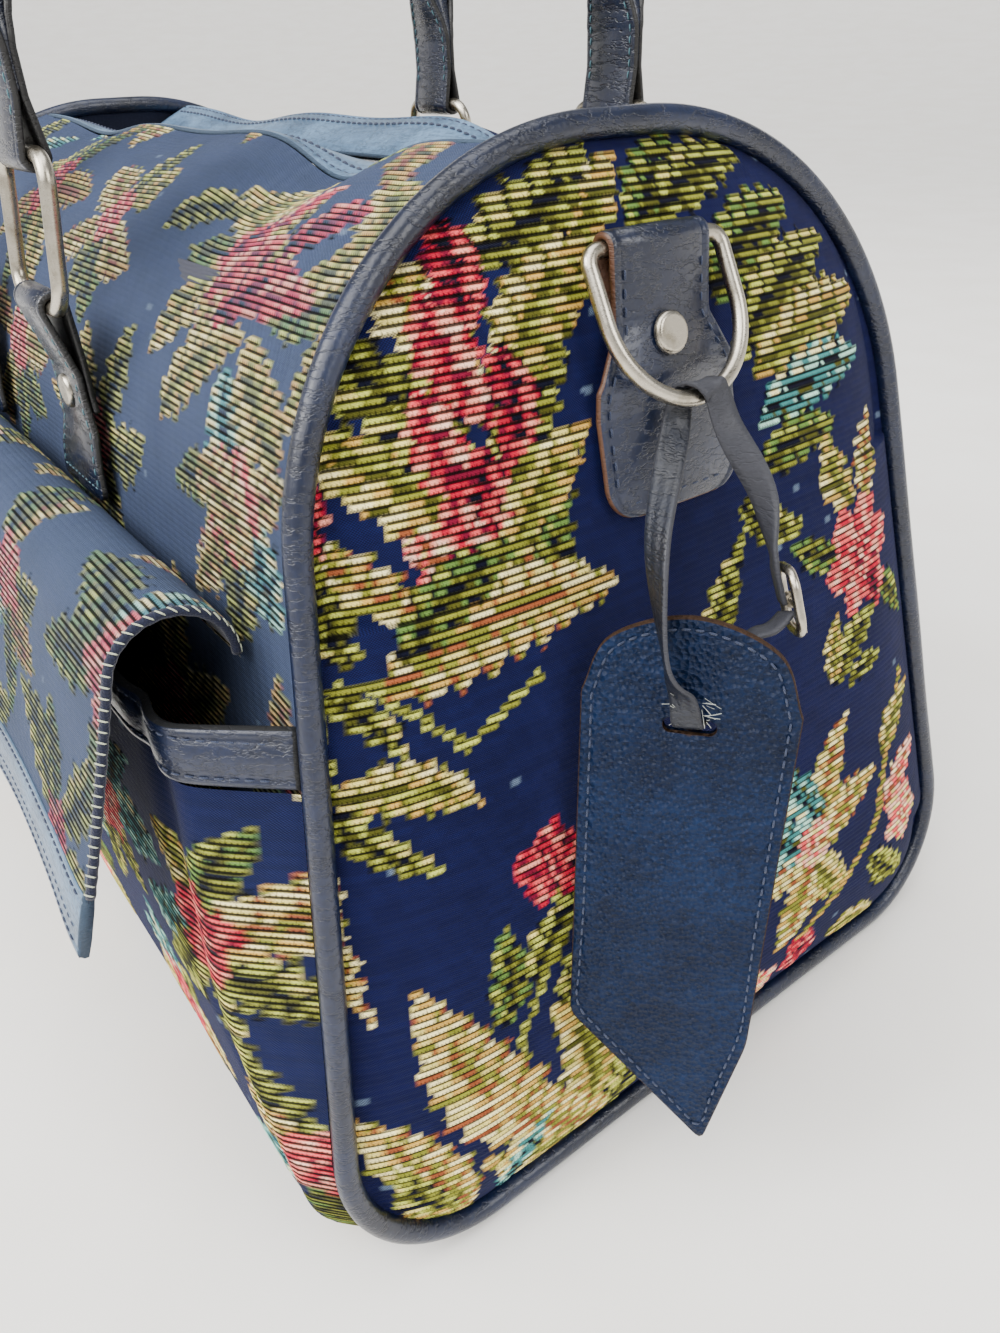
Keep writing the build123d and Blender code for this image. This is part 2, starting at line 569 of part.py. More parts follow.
def build_d_rings():
    axis_v, axis_w = tab_axis()
    corner = 4.0
    path = FilletPolyline(
        (0, 0), (D_HALF_WIDTH, 0), (D_HALF_WIDTH, D_HALF_WIDTH - D_HEIGHT), radius=corner
    )
    belly = D_HALF_WIDTH - D_HEIGHT
    path += ThreePointArc((D_HALF_WIDTH, belly), (0, -D_HEIGHT), (-D_HALF_WIDTH, belly))
    path += FilletPolyline((-D_HALF_WIDTH, belly), (-D_HALF_WIDTH, 0), (0, 0), radius=corner)
    flat = sweep(Plane(origin=(0, 0, 0), z_dir=(1, 0, 0)) * Circle(D_WIRE), path=Wire(path.edges()))
    ring = END * Pos(D_U, axis_v, axis_w) * Rot(-D_TILT, 0, 0) * flat
    nodes["d_ring_right"] = ring
    nodes["d_ring_left"] = left_of(ring)
    bar = end_point(D_U, axis_v, axis_w)
    foot = (END * Pos(D_U, axis_v, axis_w) * Rot(-D_TILT, 0, 0) * Pos(0, -D_HEIGHT, 0)).position
    print("d ring hinge", bar.X, bar.Y, bar.Z, "foot", foot.X, foot.Y, foot.Z)
    return foot


# ---- Tag, its strap and buckle ----------------------------------------------------------
def tag_frame():
    """Plane of the tag: x along its width, y up its length, z out of its front leaf."""
    yaw = math.radians(TAG_YAW)
    pitch = math.radians(TAG_PITCH)
    across = Vector(math.cos(yaw), math.sin(yaw), 0)
    face = Vector(math.cos(pitch) * math.sin(yaw), -math.cos(pitch) * math.cos(yaw), math.sin(pitch))
    return Plane(origin=TAG_SLOT_AT, x_dir=across, z_dir=face)


def build_tag():
    frame = tag_frame()
    crown = ThreePointArc((-29, 7), (-1, 29), (28, 5))
    edge = Polyline((28, 5), (24, -95), (14.5, -131), (-27, -94), (-29, 7))
    face = make_face(crown + edge)
    slot = SlotOverall(*TAG_SLOT)
    leaf = extrude(face, TAG_LEAF_WALL) - extrude(slot, BIG / 4, both=True)
    nodes["tag_front"] = frame * Pos(0, 0, TAG_LEAF_GAP / 2) * leaf
    nodes["tag_back"] = frame * Pos(0, 0, -TAG_LEAF_GAP / 2 - TAG_LEAF_WALL) * leaf


def band_section(point, along, across):
    """Cross-section of the strap at a point, its width turned to a direction."""
    along = Vector(*along).normalized()
    across = Vector(*across)
    across = (across - along * across.dot(along)).normalized()
    return Plane(origin=point, x_dir=across, z_dir=along) * Rectangle(BAND_WIDTH, BAND_WALL)


def build_band(foot):
    """Strap: buckle, over the D-ring's foot, down to the tag's slot, up to the buckle."""
    frame = tag_frame()
    wrap = D_WIRE + 0.7 + BAND_WALL / 2
    x, y, z = foot.X, foot.Y, foot.Z
    wide = (0.15, 1.0, 0.0)
    edge_on = (0.75, -0.6, 0.2)
    slot = tuple(frame.x_dir)

    def on_tag(s, t, k):
        return tuple(frame.from_local_coords(Vector(s, t, k)))

    stations = [
        ((259.0, -3.0, 209.0), (0.35, -0.15, 0.9), edge_on),
        ((250.5, -0.5, 224.0), (-0.45, 0.0, 0.9), (0.7, 0.2, 0.3)),
        ((x + wrap + 4.0, y + 4.0, z - 8.0), (-0.45, -0.1, 0.9), (0.4, 1.0, 0.1)),
        ((x + wrap, y + 3.0, z), (-0.1, -0.2, 1.0), wide),
        ((x + 0.72 * wrap, y + 1.5, z + 0.72 * wrap), (-1.0, -0.4, 1.0), wide),
        ((x, y, z + wrap), (-1.0, -0.4, 0.0), wide),
        ((x - 0.72 * wrap, y - 1.5, z + 0.72 * wrap), (-1.0, -0.4, -1.0), wide),
        ((x - wrap, y - 3.0, z), (0.0, -0.2, -1.0), wide),
        ((x - wrap + 2.2, y - 7.0, z - 9.0), (0.35, -0.3, -1.0), (0.5, 1.0, 0.0)),
        ((246.8, -34.4, 218.0), (0.45, -0.25, -1.0), (0.9, 0.1, 0.3)),
        ((259.4, -42.1, 193.4), (0.4, -0.15, -1.0), edge_on),
        (on_tag(-2.5, 9.0, 5.2), (0.2, 0.1, -1.0), (1.0, 0.2, 0.2)),
        (on_tag(-0.8, 1.5, 3.6), tuple(frame.z_dir * -1.0 - frame.y_dir * 0.8), slot),
        (on_tag(0.0, 0.0, 0.0), tuple(frame.z_dir * -1.0), slot),
        (on_tag(0.6, 0.6, -3.8), tuple(frame.z_dir * -1.0 + frame.y_dir * 0.8), slot),
        (on_tag(5.0, 10.0, -6.2), (0.4, 0.4, 0.9), (1.0, 0.3, 0.0)),
        (on_tag(12.0, 22.0, -7.5), (0.15, 0.5, 0.9), edge_on),
    ]
    sections = [band_section(*station) for station in stations]
    nodes["tag_strap"] = loft(sections, ruled=True)


def build_buckle():
    """Half-round buckle frame beside the strap, with its prong on the middle bar."""
    centre = Vector(265.0, -2.5, 199.0)
    frame = Plane(origin=centre, x_dir=(0.35, 0.0, -0.9), z_dir=(0.55, 0.8, 0.2))
    width, height = BUCKLE_SIZE
    track = RectangleRounded(width, height, 5.0).wire()
    ring = frame * sweep(Plane(origin=(0, height / 2, 0), z_dir=(1, 0, 0)) * Circle(BUCKLE_WIRE), path=track)
    bar = frame * Rot(90, 0, 0) * Cylinder(BUCKLE_WIRE - 0.2, height)
    nodes["tag_buckle"] = ring + bar
    sleeve = Rot(90, 0, 0) * Cylinder(BUCKLE_WIRE + 0.7, 3.0)
    needle = Pos(width / 4 + 0.6, 0, BUCKLE_WIRE + 0.75) * Box(width / 2 + 1.2, 1.4, 1.2)
    prong = sleeve + needle - Rot(90, 0, 0) * Cylinder(BUCKLE_WIRE - 0.2 + RUNNING_GAP, 6.0)
    nodes["buckle_prong"] = frame * prong
    print("prong hinge", centre.X, centre.Y, centre.Z, "axis", tuple(frame.y_dir))


build_body()
build_ends()
build_zip()
build_slider()
build_pocket()
build_flap()
build_chapes()
build_handles()
build_tabs()
ring_foot = build_d_rings()
build_tag()
build_band(ring_foot)
build_buckle()

box = Compound(children=[shape for shape in nodes.values()]).bounding_box()
shift = Vector(-(box.min.X + box.max.X) / 2, -(box.min.Y + box.max.Y) / 2, -box.min.Z)
for name, shape in nodes.items():
    solids = [solid.moved(Pos(shift.X, shift.Y, shift.Z)) for solid in shape.solids()]
    piece = solids[0] if len(solids) == 1 else Compound(solids)
    export_step(piece, f"parts/{name}.step")
print("shift", shift.X, shift.Y, shift.Z)
print("size", box.size.X, box.size.Y, box.size.Z)
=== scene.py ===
"""Looks of a tapestry carpet bag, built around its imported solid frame.

Every sub-assembly is a class that keeps its sizes in millimetres, in the bag's own design frame
(+X along the bag, the pocket towards -Y, +Z up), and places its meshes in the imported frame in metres.
"""

import json
import logging
import math
from dataclasses import dataclass, field
from enum import Enum
from functools import reduce
from typing import Callable, Sequence

import bpy
import numpy as np
from mathutils import Matrix, Vector

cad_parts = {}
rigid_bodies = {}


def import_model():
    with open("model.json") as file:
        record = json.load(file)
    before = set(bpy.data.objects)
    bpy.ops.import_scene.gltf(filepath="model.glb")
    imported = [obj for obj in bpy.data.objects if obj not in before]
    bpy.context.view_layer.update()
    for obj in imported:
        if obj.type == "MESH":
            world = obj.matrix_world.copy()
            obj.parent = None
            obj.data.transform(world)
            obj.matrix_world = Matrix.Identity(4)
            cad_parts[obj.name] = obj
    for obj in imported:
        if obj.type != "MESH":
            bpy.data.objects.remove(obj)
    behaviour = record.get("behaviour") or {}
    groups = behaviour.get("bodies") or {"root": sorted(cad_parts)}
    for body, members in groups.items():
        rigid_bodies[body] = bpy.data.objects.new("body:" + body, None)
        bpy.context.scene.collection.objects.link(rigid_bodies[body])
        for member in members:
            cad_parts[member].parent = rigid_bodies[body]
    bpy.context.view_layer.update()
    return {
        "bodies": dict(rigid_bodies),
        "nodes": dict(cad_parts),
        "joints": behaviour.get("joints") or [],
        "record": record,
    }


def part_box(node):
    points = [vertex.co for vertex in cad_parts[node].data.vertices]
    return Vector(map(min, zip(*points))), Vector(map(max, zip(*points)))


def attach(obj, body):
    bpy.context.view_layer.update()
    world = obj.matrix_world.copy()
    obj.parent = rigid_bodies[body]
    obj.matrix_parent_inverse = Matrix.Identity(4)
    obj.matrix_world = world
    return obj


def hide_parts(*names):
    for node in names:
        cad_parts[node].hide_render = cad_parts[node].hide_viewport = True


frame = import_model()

Array = np.ndarray
Socket = bpy.types.NodeSocket
Triple = tuple[float, float, float]
Surface = Callable[[Array, Array], tuple[Array, Array]]

LOG = logging.getLogger("carpet_bag")
MM = 0.001
FAR = 1e3
TO_LEFT = np.array([-1.0, 1.0, 1.0])
FRAY_SEED = 97


# ---- Colours and yarns ------------------------------------------------------------------
def linear(hex_colour: str) -> Triple:
    """Turns a web colour into linear light.

    Args:
        hex_colour: Six hexadecimal digits, without the hash.

    Returns:
        Red, green and blue in linear light.
    """
    values = [int(hex_colour[i:i + 2], 16) / 255 for i in (0, 2, 4)]
    return tuple(v / 12.92 if v <= 0.04045 else ((v + 0.055) / 1.055) ** 2.4 for v in values)


class Yarn(Enum):
    """Yarns of the tapestry, each with its colour."""

    NAVY = "0c1034"
    INK = "0a0c1c"
    SLATE = "4d5a6e"
    MOSS = "4a4a18"
    OLIVE = "7d7f2c"
    GREEN = "5d7c3a"
    LEAF = "b3b850"
    STRAW = "dccb72"
    CREAM = "f6e7a6"
    GOLD = "c39a48"
    RUST = "8a4a2c"
    WINE = "6d0f2a"
    CRIMSON = "b01230"
    CORAL = "e04f52"
    SALMON = "f09580"
    PINK = "f5c0a8"
    TEAL = "3e7d7c"
    MINT = "a9d9c6"


YARNS = list(Yarn)
YARN_COLOURS = np.array([linear(y.value) for y in YARNS])


class Tone(Enum):
    """Yarns of a motif's dark, middle, light and brightest parts, each a pair for even and odd wefts."""

    FRESH = "MOSS INK, OLIVE MOSS, LEAF OLIVE, STRAW LEAF"
    DEEP = "INK MOSS, MOSS OLIVE, GREEN OLIVE, LEAF GREEN"
    SUNLIT = "OLIVE MOSS, LEAF OLIVE, STRAW GOLD, CREAM STRAW"
    STRAWY = "OLIVE RUST, STRAW OLIVE, CREAM GOLD, CREAM STRAW"
    GILT = "RUST MOSS, GOLD RUST, GOLD OLIVE, STRAW GOLD"
    WATERY = "INK TEAL, TEAL MOSS, MINT TEAL, CREAM MINT"
    RUBY = "INK WINE, WINE CRIMSON, CRIMSON CORAL, CORAL SALMON"
    ROSE = "WINE CRIMSON, CRIMSON CORAL, CORAL SALMON, SALMON PINK"
    BLUSH = "RUST CORAL, CORAL STRAW, SALMON PINK, PINK CREAM"

    def table(self) -> Array:
        """Yarn numbers as four zones by two wefts."""
        return np.array([YARNS.index(Yarn[word]) for word in self.value.replace(",", "").split()]).reshape(4, 2)


# ---- Motifs of the weave ----------------------------------------------------------------
def lay_yarns(yarn: Array, near: Array, inside: Array, tone: Tone, zone: Array,
              weft: Array) -> None:
    """Writes the yarns of a motif.

    Args:
        yarn: Yarn numbers of the whole cloth, changed in place.
        near: Which places of the cloth are near the motif.
        inside: Which of those near places lie in it.
        tone: Its yarn pairs.
        zone: Zone of the tone at each near place.
        weft: Weft number of each near place.
    """
    index = np.flatnonzero(near.ravel())[inside]
    yarn.reshape(-1)[index] = tone.table()[zone[inside], weft[inside] % 2]


@dataclass(frozen=True)
class Frond:
    """A toothed leaf or a long petal along a bowed midrib."""

    base: tuple[float, float]
    tip: tuple[float, float]
    half: float
    tone: Tone = Tone.FRESH
    bow: float = 0.0
    teeth: float = 5.0

    def paint(self, a: Array, b: Array, row: Array, yarn: Array) -> None:
        """Writes this motif's yarns.

        Args:
            a: Places along the wefts.
            b: Places across the wefts.
            row: Weft numbers.
            yarn: Yarn numbers, changed in place.
        """
        span = np.subtract(self.tip, self.base)
        length = float(np.hypot(*span))
        ax = span / length
        da, db = a - self.base[0], b - self.base[1]
        s = (da * ax[0] + db * ax[1]) / length
        t = -da * ax[1] + db * ax[0] - self.bow * 4 * s * (1 - s)
        near = (s > 0) & (s < 1) & (np.abs(t) < self.half)
        s, t, w = s[near], t[near], row[near]
        profile = self.half * np.sin(np.pi * s**0.8) ** 0.75
        tooth = np.mod(self.teeth * s - 0.9 * np.abs(t) / self.half + np.where(t > 0, 0.0, 0.4), 1.0)
        edge = profile * (0.66 + 0.34 * (1 - tooth))
        inside = np.abs(t) < edge
        share = np.abs(t) / np.maximum(edge, 0.1)
        zone = np.where(t > 0, 2, 1)
        zone = np.where((share > 0.45) & (tooth > 0.35), zone + 1, zone)
        zone = np.where(tooth < 0.2, 0, zone)
        zone = np.where(np.abs(t) < 0.09 * self.half + 0.35, np.where(s < 0.75, 0, 2), zone)
        lay_yarns(yarn, near, inside, self.tone, zone, w)


@dataclass(frozen=True)
class Bloom:
    """A round flower with ruffled petals about a dark heart."""

    centre: tuple[float, float]
    radius: float
    tone: Tone = Tone.ROSE
    petals: int = 5
    turn: float = 0.0

    def paint(self, a: Array, b: Array, row: Array, yarn: Array) -> None:
        """Writes this motif's yarns.

        Args:
            a: Places along the wefts.
            b: Places across the wefts.
            row: Weft numbers.
            yarn: Yarn numbers, changed in place.
        """
        da, db = a - self.centre[0], b - self.centre[1]
        r = np.hypot(da, db) / self.radius
        near = r < 1.05
        r, w = r[near], row[near]
        angle = np.arctan2(db[near], da[near]) + self.turn
        petal = np.abs(np.sin(self.petals * angle / 2))
        rim = 0.72 + 0.3 * petal + 0.05 * np.sin(11 * angle)
        inside = r < rim
        ruffle = np.sin(9.0 * r + 2.2 * np.sin(self.petals * angle) + 1.5)
        zone = np.where(ruffle > 0.45, 3, np.where(ruffle > -0.2, 2, 1))
        zone = np.where((petal < 0.2) & (r > 0.25), 0, zone)
        zone = np.where(r < 0.2, np.where(r < 0.1, 3, 0), zone)
        zone = np.where(r > 0.92 * rim, 2, zone)
        lay_yarns(yarn, near, inside, self.tone, zone, w)


@dataclass(frozen=True)
class Stem:
    """A thin stalk through a few points."""

    points: tuple[tuple[float, float], ...]
    half: float = 1.2
    tone: Tone = Tone.FRESH

    def paint(self, a: Array, b: Array, row: Array, yarn: Array) -> None:
        """Writes this motif's yarns.

        Args:
            a: Places along the wefts.
            b: Places across the wefts.
            row: Weft numbers.
            yarn: Yarn numbers, changed in place.
        """
        nearest = np.full(a.shape, FAR)
        for start, stop in zip(self.points, self.points[1:]):
            span = np.subtract(stop, start)
            t = ((a - start[0]) * span[0] + (b - start[1]) * span[1]) / float(span @ span)
            t = np.clip(t, 0, 1)
            nearest = np.minimum(nearest, np.hypot(a - start[0] - t * span[0], b - start[1] - t * span[1]))
        hit = nearest < self.half
        yarn[hit] = self.tone.table()[2, row[hit] % 2]


Motif = Frond | Bloom | Stem


def spray(rng: np.random.Generator, centre: tuple[float, float], reach: float) -> list[Motif]:
    """One flower with leaves about it.

    Args:
        rng: Seeded source of the spray's variety.
        centre: Middle of the flower.
        reach: Length of the longest leaves.

    Returns:
        Motifs, from the back to the front.
    """
    greens = [Tone.FRESH, Tone.SUNLIT, Tone.DEEP, Tone.FRESH, Tone.GILT, Tone.STRAWY, Tone.WATERY]
    warm = [Tone.RUBY, Tone.ROSE, Tone.ROSE, Tone.BLUSH]
    made: list[Motif] = []
    count = 7
    offset = rng.uniform(0, 2 * math.pi)
    for k in range(count):
        angle = offset + 2 * math.pi * k / count + rng.uniform(-0.25, 0.25)
        length = reach * rng.uniform(0.65, 1.0)
        base = (centre[0] + 8 * math.cos(angle), centre[1] + 8 * math.sin(angle))
        tip = (centre[0] + length * math.cos(angle), centre[1] + length * math.sin(angle))
        tone = greens[int(rng.integers(len(greens)))]
        made.append(Frond(base, tip, rng.uniform(8.5, 13.5), tone, rng.uniform(-6, 6), rng.uniform(4, 6.5)))
    made.append(Bloom(centre, rng.uniform(11, 18), warm[int(rng.integers(len(warm)))], 5, offset))
    return made


def meadow(seed: int, a_range: tuple[float, float], b_range: tuple[float, float]) -> list[Motif]:
    """Sprays scattered over a panel on a loose brick lattice.

    Args:
        seed: Seed of the scatter.
        a_range: Reach of the panel along the wefts.
        b_range: Reach of the panel across the wefts.

    Returns:
        Motifs, from the back to the front.
    """
    rng = np.random.default_rng(seed)
    step_a, step_b = 92.0, 74.0
    made: list[Motif] = []
    rows = int((b_range[1] - b_range[0]) / step_b) + 2
    columns = int((a_range[1] - a_range[0]) / step_a) + 2
    for i in range(rows):
        for j in range(columns):
            a = a_range[0] + (j + 0.5 * (i % 2) - 0.2) * step_a + rng.uniform(-14, 14)
            b = b_range[0] + (i - 0.1) * step_b + rng.uniform(-12, 12)
            made += spray(rng, (a, b), rng.uniform(46, 60))
    return made


@dataclass
class Tapestry:
    """A woven design: motifs over a navy ground, which can be washed towards slate as a painted sheen of brightly lit
    panels.
    """

    motifs: Sequence[Motif]
    pitch: float = 2.0
    fade: float = 0.0
    seed: int = 1

    def colours(self, a: Array, b: Array) -> tuple[Array, Array]:
        """Yarn colours and float heights at places on the cloth.

        Args:
            a: Places along the wefts, in millimetres.
            b: Places across them; every place in one weft reads the same row.

        Returns:
            Colours (n, m, 4) and a mask that is 1 where a motif's yarn floats.
        """
        row = np.floor(b / self.pitch).astype(int)
        centre = (row + 0.5) * self.pitch
        jitter = np.modf(np.abs(np.sin((row + 7 * self.seed) * 12.9898) * 43758.5453))[0]
        shifted = a + 2.2 * (jitter - 0.5)
        yarn = np.zeros(a.shape, int)
        for motif in self.motifs:
            motif.paint(shifted, centre, row, yarn)
        floats = (yarn > 0).astype(float)
        speck = np.modf(np.abs(np.sin(row * 78.233 + np.floor(a / 3.1) * 37.719) * 9631.17))[0]
        yarn = np.where((yarn == 0) & (speck > 0.9965), YARNS.index(Yarn.SLATE), yarn)
        colour = YARN_COLOURS[yarn]
        shade = 0.86 + 0.28 * np.modf(np.abs(np.sin(row * 4.17 + np.floor(a / 7.3) * 1.7) * 917.3))[0]
        colour = colour * shade[..., None]
        # Painted sheen: the whole panel's colour is mixed towards slate blue to stand for washed-out light on a
        # brightly lit panel.
        slate = YARN_COLOURS[YARNS.index(Yarn.SLATE)]
        colour = colour * (1 - self.fade) + slate * self.fade
        return np.concatenate([colour, np.ones(a.shape + (1,))], axis=-1), floats


# ---- Materials --------------------------------------------------------------------------
class Dye:
    """Helper that wires one node material."""

    def __init__(self, name: str) -> None:
        """Starts a material with its surface shader.

        Args:
            name: Name of the material.
        """
        self.material = bpy.data.materials.new(name)
        self.material.use_nodes = True
        self.nodes = self.material.node_tree.nodes
        self.links = self.material.node_tree.links
        self.shader = next(n for n in self.nodes if n.type == "BSDF_PRINCIPLED")

    def feed(self, socket: Socket, value: object) -> None:
        """Links a socket or sets its constant.

        Args:
            socket: The input to feed.
            value: An output to link, or a constant.
        """
        if isinstance(value, Socket):
            self.links.new(value, socket)
        else:
            socket.default_value = value

    def surface(self, **inputs: object) -> None:
        """Sets inputs of the surface shader; underscores stand for spaces."""
        for name, value in inputs.items():
            self.feed(self.shader.inputs[name.replace("_", " ")], value)

    def node(self, kind: str, inputs: dict[int | str, object], **settings: object) -> bpy.types.Node:
        """Adds a node.

        Args:
            kind: Type of the node.
            inputs: What feeds its inputs, by number or name.
            settings: Its properties.

        Returns:
            The node.
        """
        node = self.nodes.new(kind)
        for name, value in settings.items():
            setattr(node, name, value)
        for key, value in inputs.items():
            self.feed(node.inputs[key], value)
        return node

    def math(self, operation: str, *values: object) -> Socket:
        """The result of a Math node."""
        return self.node("ShaderNodeMath", dict(enumerate(values)), operation=operation).outputs[0]

    def times(self, first: object, *others: object) -> Socket:
        """The values multiplied together."""
        return reduce(lambda so_far, value: self.math("MULTIPLY", so_far, value), others, first)

    def plus(self, first: object, *others: object) -> Socket:
        """The values added up."""
        return reduce(lambda so_far, value: self.math("ADD", so_far, value), others, first)

    def line(self, value: object, gain: float, base: float) -> Socket:
        """A value times a gain, plus a base."""
        return self.math("MULTIPLY_ADD", value, gain, base)

    def wave(self, value: object, gain: float) -> Socket:
        """The sine of a value times a gain."""
        return self.math("SINE", self.times(value, gain))

    def smooth(self, value: object, low: float, high: float) -> Socket:
        """A smooth step from 0 at low to 1 at high."""
        ends = {"Value": value, "From Min": low, "From Max": high}
        return self.node("ShaderNodeMapRange", ends, interpolation_type="SMOOTHSTEP").outputs["Result"]

    def mix(self, share: object, first: object, second: object) -> Socket:
        """A mix of two colours.

        Args:
            share: Share of the second one.
            first: The first colour.
            second: The second colour.

        Returns:
            The mixed colour.
        """
        node = self.node("ShaderNodeMix", {0: share}, data_type="RGBA")
        for socket, colour in zip([s for s in node.inputs if s.type == "RGBA"], (first, second)):
            self.feed(socket, colour)
        return next(s for s in node.outputs if s.type == "RGBA")

    def tint(self, colour: object, share: object) -> Socket:
        """A colour multiplied by a number."""
        return self.node("ShaderNodeVectorMath", {0: colour, "Scale": share}, operation="SCALE").outputs[0]

    def place(self, scale: Triple = (1.0, 1.0, 1.0)) -> Socket:
        """The point on the piece, in metres, stretched along its axes."""
        point = self.node("ShaderNodeTexCoord", {}).outputs["Object"]
        return self.node("ShaderNodeVectorMath", {0: point, 1: scale}, operation="MULTIPLY").outputs[0]

    def attribute(self, name: str) -> bpy.types.Node:
        """The node that reads a mesh attribute."""
        return self.node("ShaderNodeAttribute", {}, attribute_name=name)

    def parts(self, vector: Socket) -> Sequence[Socket]:
        """The three numbers of a vector."""
        return self.node("ShaderNodeSeparateXYZ", {0: vector}).outputs

    def noise(self, vector: object, scale: float, detail: float = 3.0, rough: float = 0.55) -> Socket:
        """Cloudy noise from 0 to 1."""
        inputs = {"Vector": vector, "Scale": scale, "Detail": detail, "Roughness": rough}
        return self.node("ShaderNodeTexNoise", inputs).outputs["Fac"]

    def cells(self, vector: object, scale: float) -> Socket:
        """Distance to the nearest of scattered points."""
        return self.node("ShaderNodeTexVoronoi", {"Vector": vector, "Scale": scale}).outputs["Distance"]

    def relief(self, height: object, distance: float, strength: float = 1.0) -> None:
        """Adds a bump under the surface shader.

        Args:
            height: Height of the bump from 0 to 1.
            distance: Metres that a height of 1 stands for.
            strength: Share of the bump that shows.
        """
        node = self.node("ShaderNodeBump", {"Strength": strength, "Distance": distance, "Height": height})
        for link in self.shader.inputs["Normal"].links:
            self.feed(node.inputs["Normal"], link.from_socket)
        self.feed(self.shader.inputs["Normal"], node.outputs["Normal"])


@dataclass(frozen=True)
class WovenFinish:
    """Tapestry cloth, whose yarns and weave places come with its mesh."""

    name: str = "tapestry_weave"
    pitch: float = 2.0
    gap_shade: float = 0.06
    rib_height: float = 0.00045

    def make(self) -> bpy.types.Material:
        """Builds the material.

        Returns:
            The material.
        """
        dye = Dye(self.name)
        yarn = dye.attribute("yarn").outputs["Color"]
        a, b, floats = dye.parts(dye.attribute("weave").outputs["Vector"])
        phase = dye.math("FRACT", dye.math("DIVIDE", b, self.pitch))
        row = dye.math("FLOOR", dye.math("DIVIDE", b, self.pitch))

        def off_middle(along: float, step: float) -> Socket:
            """Distance from the middle of cells that shift a step with every weft."""
            cell = dye.math("FRACT", dye.plus(dye.times(a, along), dye.times(row, step)))
            return dye.math("ABSOLUTE", dye.math("SUBTRACT", cell, 0.5))

        crest = dye.wave(phase, math.pi)
        twist = dye.line(dye.math("SINE", dye.plus(dye.times(a, 7.5), dye.times(b, 9.0))), 0.5, 0.5)
        grid = dye.line(dye.times(dye.wave(a, 8.6), dye.wave(b, 9.42)), 0.5, 0.5)
        fuzz = dye.noise(dye.place(), 2600.0, 2.0)
        # Painted shade and highlight: each rib darkens towards its gaps and lightens along its twist, and the ground
        # follows its weave grid; ties and short ticks on each rib's lower half are darker too.
        painted_rib_shade = dye.line(dye.smooth(crest, 0.34, 0.88), 1.0 - self.gap_shade, self.gap_shade)
        tie = dye.smooth(off_middle(0.31, 0.37), 0.01, 0.07)
        tick = dye.math("MAXIMUM", dye.smooth(off_middle(0.87, 0.41), 0.1, 0.26), dye.smooth(phase, 0.36, 0.52))
        float_light = dye.times(painted_rib_shade, dye.line(twist, 0.22, 0.84), dye.line(tie, 0.35, 0.65),
                                dye.line(tick, 0.62, 0.48), floats)
        ground_light = dye.times(dye.line(grid, 1.5, 0.3), dye.math("SUBTRACT", 1.0, floats))
        light = dye.times(dye.plus(float_light, ground_light), dye.line(dye.noise(dye.place(), 38.0, 4.0), 0.5, 0.76),
                          dye.line(fuzz, 0.5, 0.76))
        dye.surface(Base_Color=dye.tint(yarn, light), Roughness=0.72, Sheen_Weight=0.02, Sheen_Roughness=0.45,
                    Specular_IOR_Level=0.06)
        rise = dye.plus(dye.times(crest, dye.line(floats, 0.8, 0.2)), dye.times(twist, 0.18), dye.times(grid, 0.14),
                        dye.times(fuzz, 0.22))
        dye.relief(rise, self.rib_height)
        return dye.material


@dataclass(frozen=True)
class LeatherFinish:
    """Coated leather with a grain, creases and a cut edge."""

    name: str
    colour: str
    dark: str
    edge: str
    pebble: float = 900.0
    pebble_height: float = 0.00012
    crease: float = 0.00035
    roughness: float = 0.34
    coat: float = 0.25
    shine: float = 0.42
    pore_height: float = 0.00005

    def make(self) -> bpy.types.Material:
        """Builds the material.

        Returns:
            The material.
        """
        dye = Dye(self.name)
        here = dye.place()
        cell = dye.cells(here, self.pebble)
        worn = dye.noise(here, 34.0, 4.0)
        fold = dye.noise(dye.place((0.6, 1.0, 2.6)), 120.0, 3.0, 0.65)
        crease_and_painted_shade = dye.smooth(dye.math("ABSOLUTE", dye.math("SUBTRACT", fold, 0.5)), 0.0, 0.05)
        base = dye.mix(dye.smooth(worn, 0.3, 0.72), (*linear(self.dark), 1), (*linear(self.colour), 1))
        # Painted shade: the leather is darkened along its crease lines.
        base = dye.tint(base, dye.line(crease_and_painted_shade, 0.28, 0.74))
        # Painted shade: the grain is darker in its pits and lighter on its ridges, following the bump.
        base = dye.tint(base, dye.line(cell, 0.5, 0.78))
        edge = dye.tint(linear(self.edge), dye.line(dye.noise(dye.place((1.0, 1.0, 5.0)), 700.0), 0.9, 0.5))
        shown = dye.smooth(dye.attribute("raw").outputs["Fac"], 0.45, 0.6)
        gloss = dye.plus(dye.line(worn, 0.22, self.roughness - 0.08), dye.times(shown, 0.35))
        dye.surface(Base_Color=dye.mix(shown, base, edge), Roughness=gloss, Specular_IOR_Level=self.shine,
                    Coat_Weight=self.coat, Coat_Roughness=0.3)
        dye.relief(cell, self.pebble_height)
        dye.relief(crease_and_painted_shade, self.crease, 0.6)
        dye.relief(dye.noise(here, 1900.0), self.pore_height)
        return dye.material


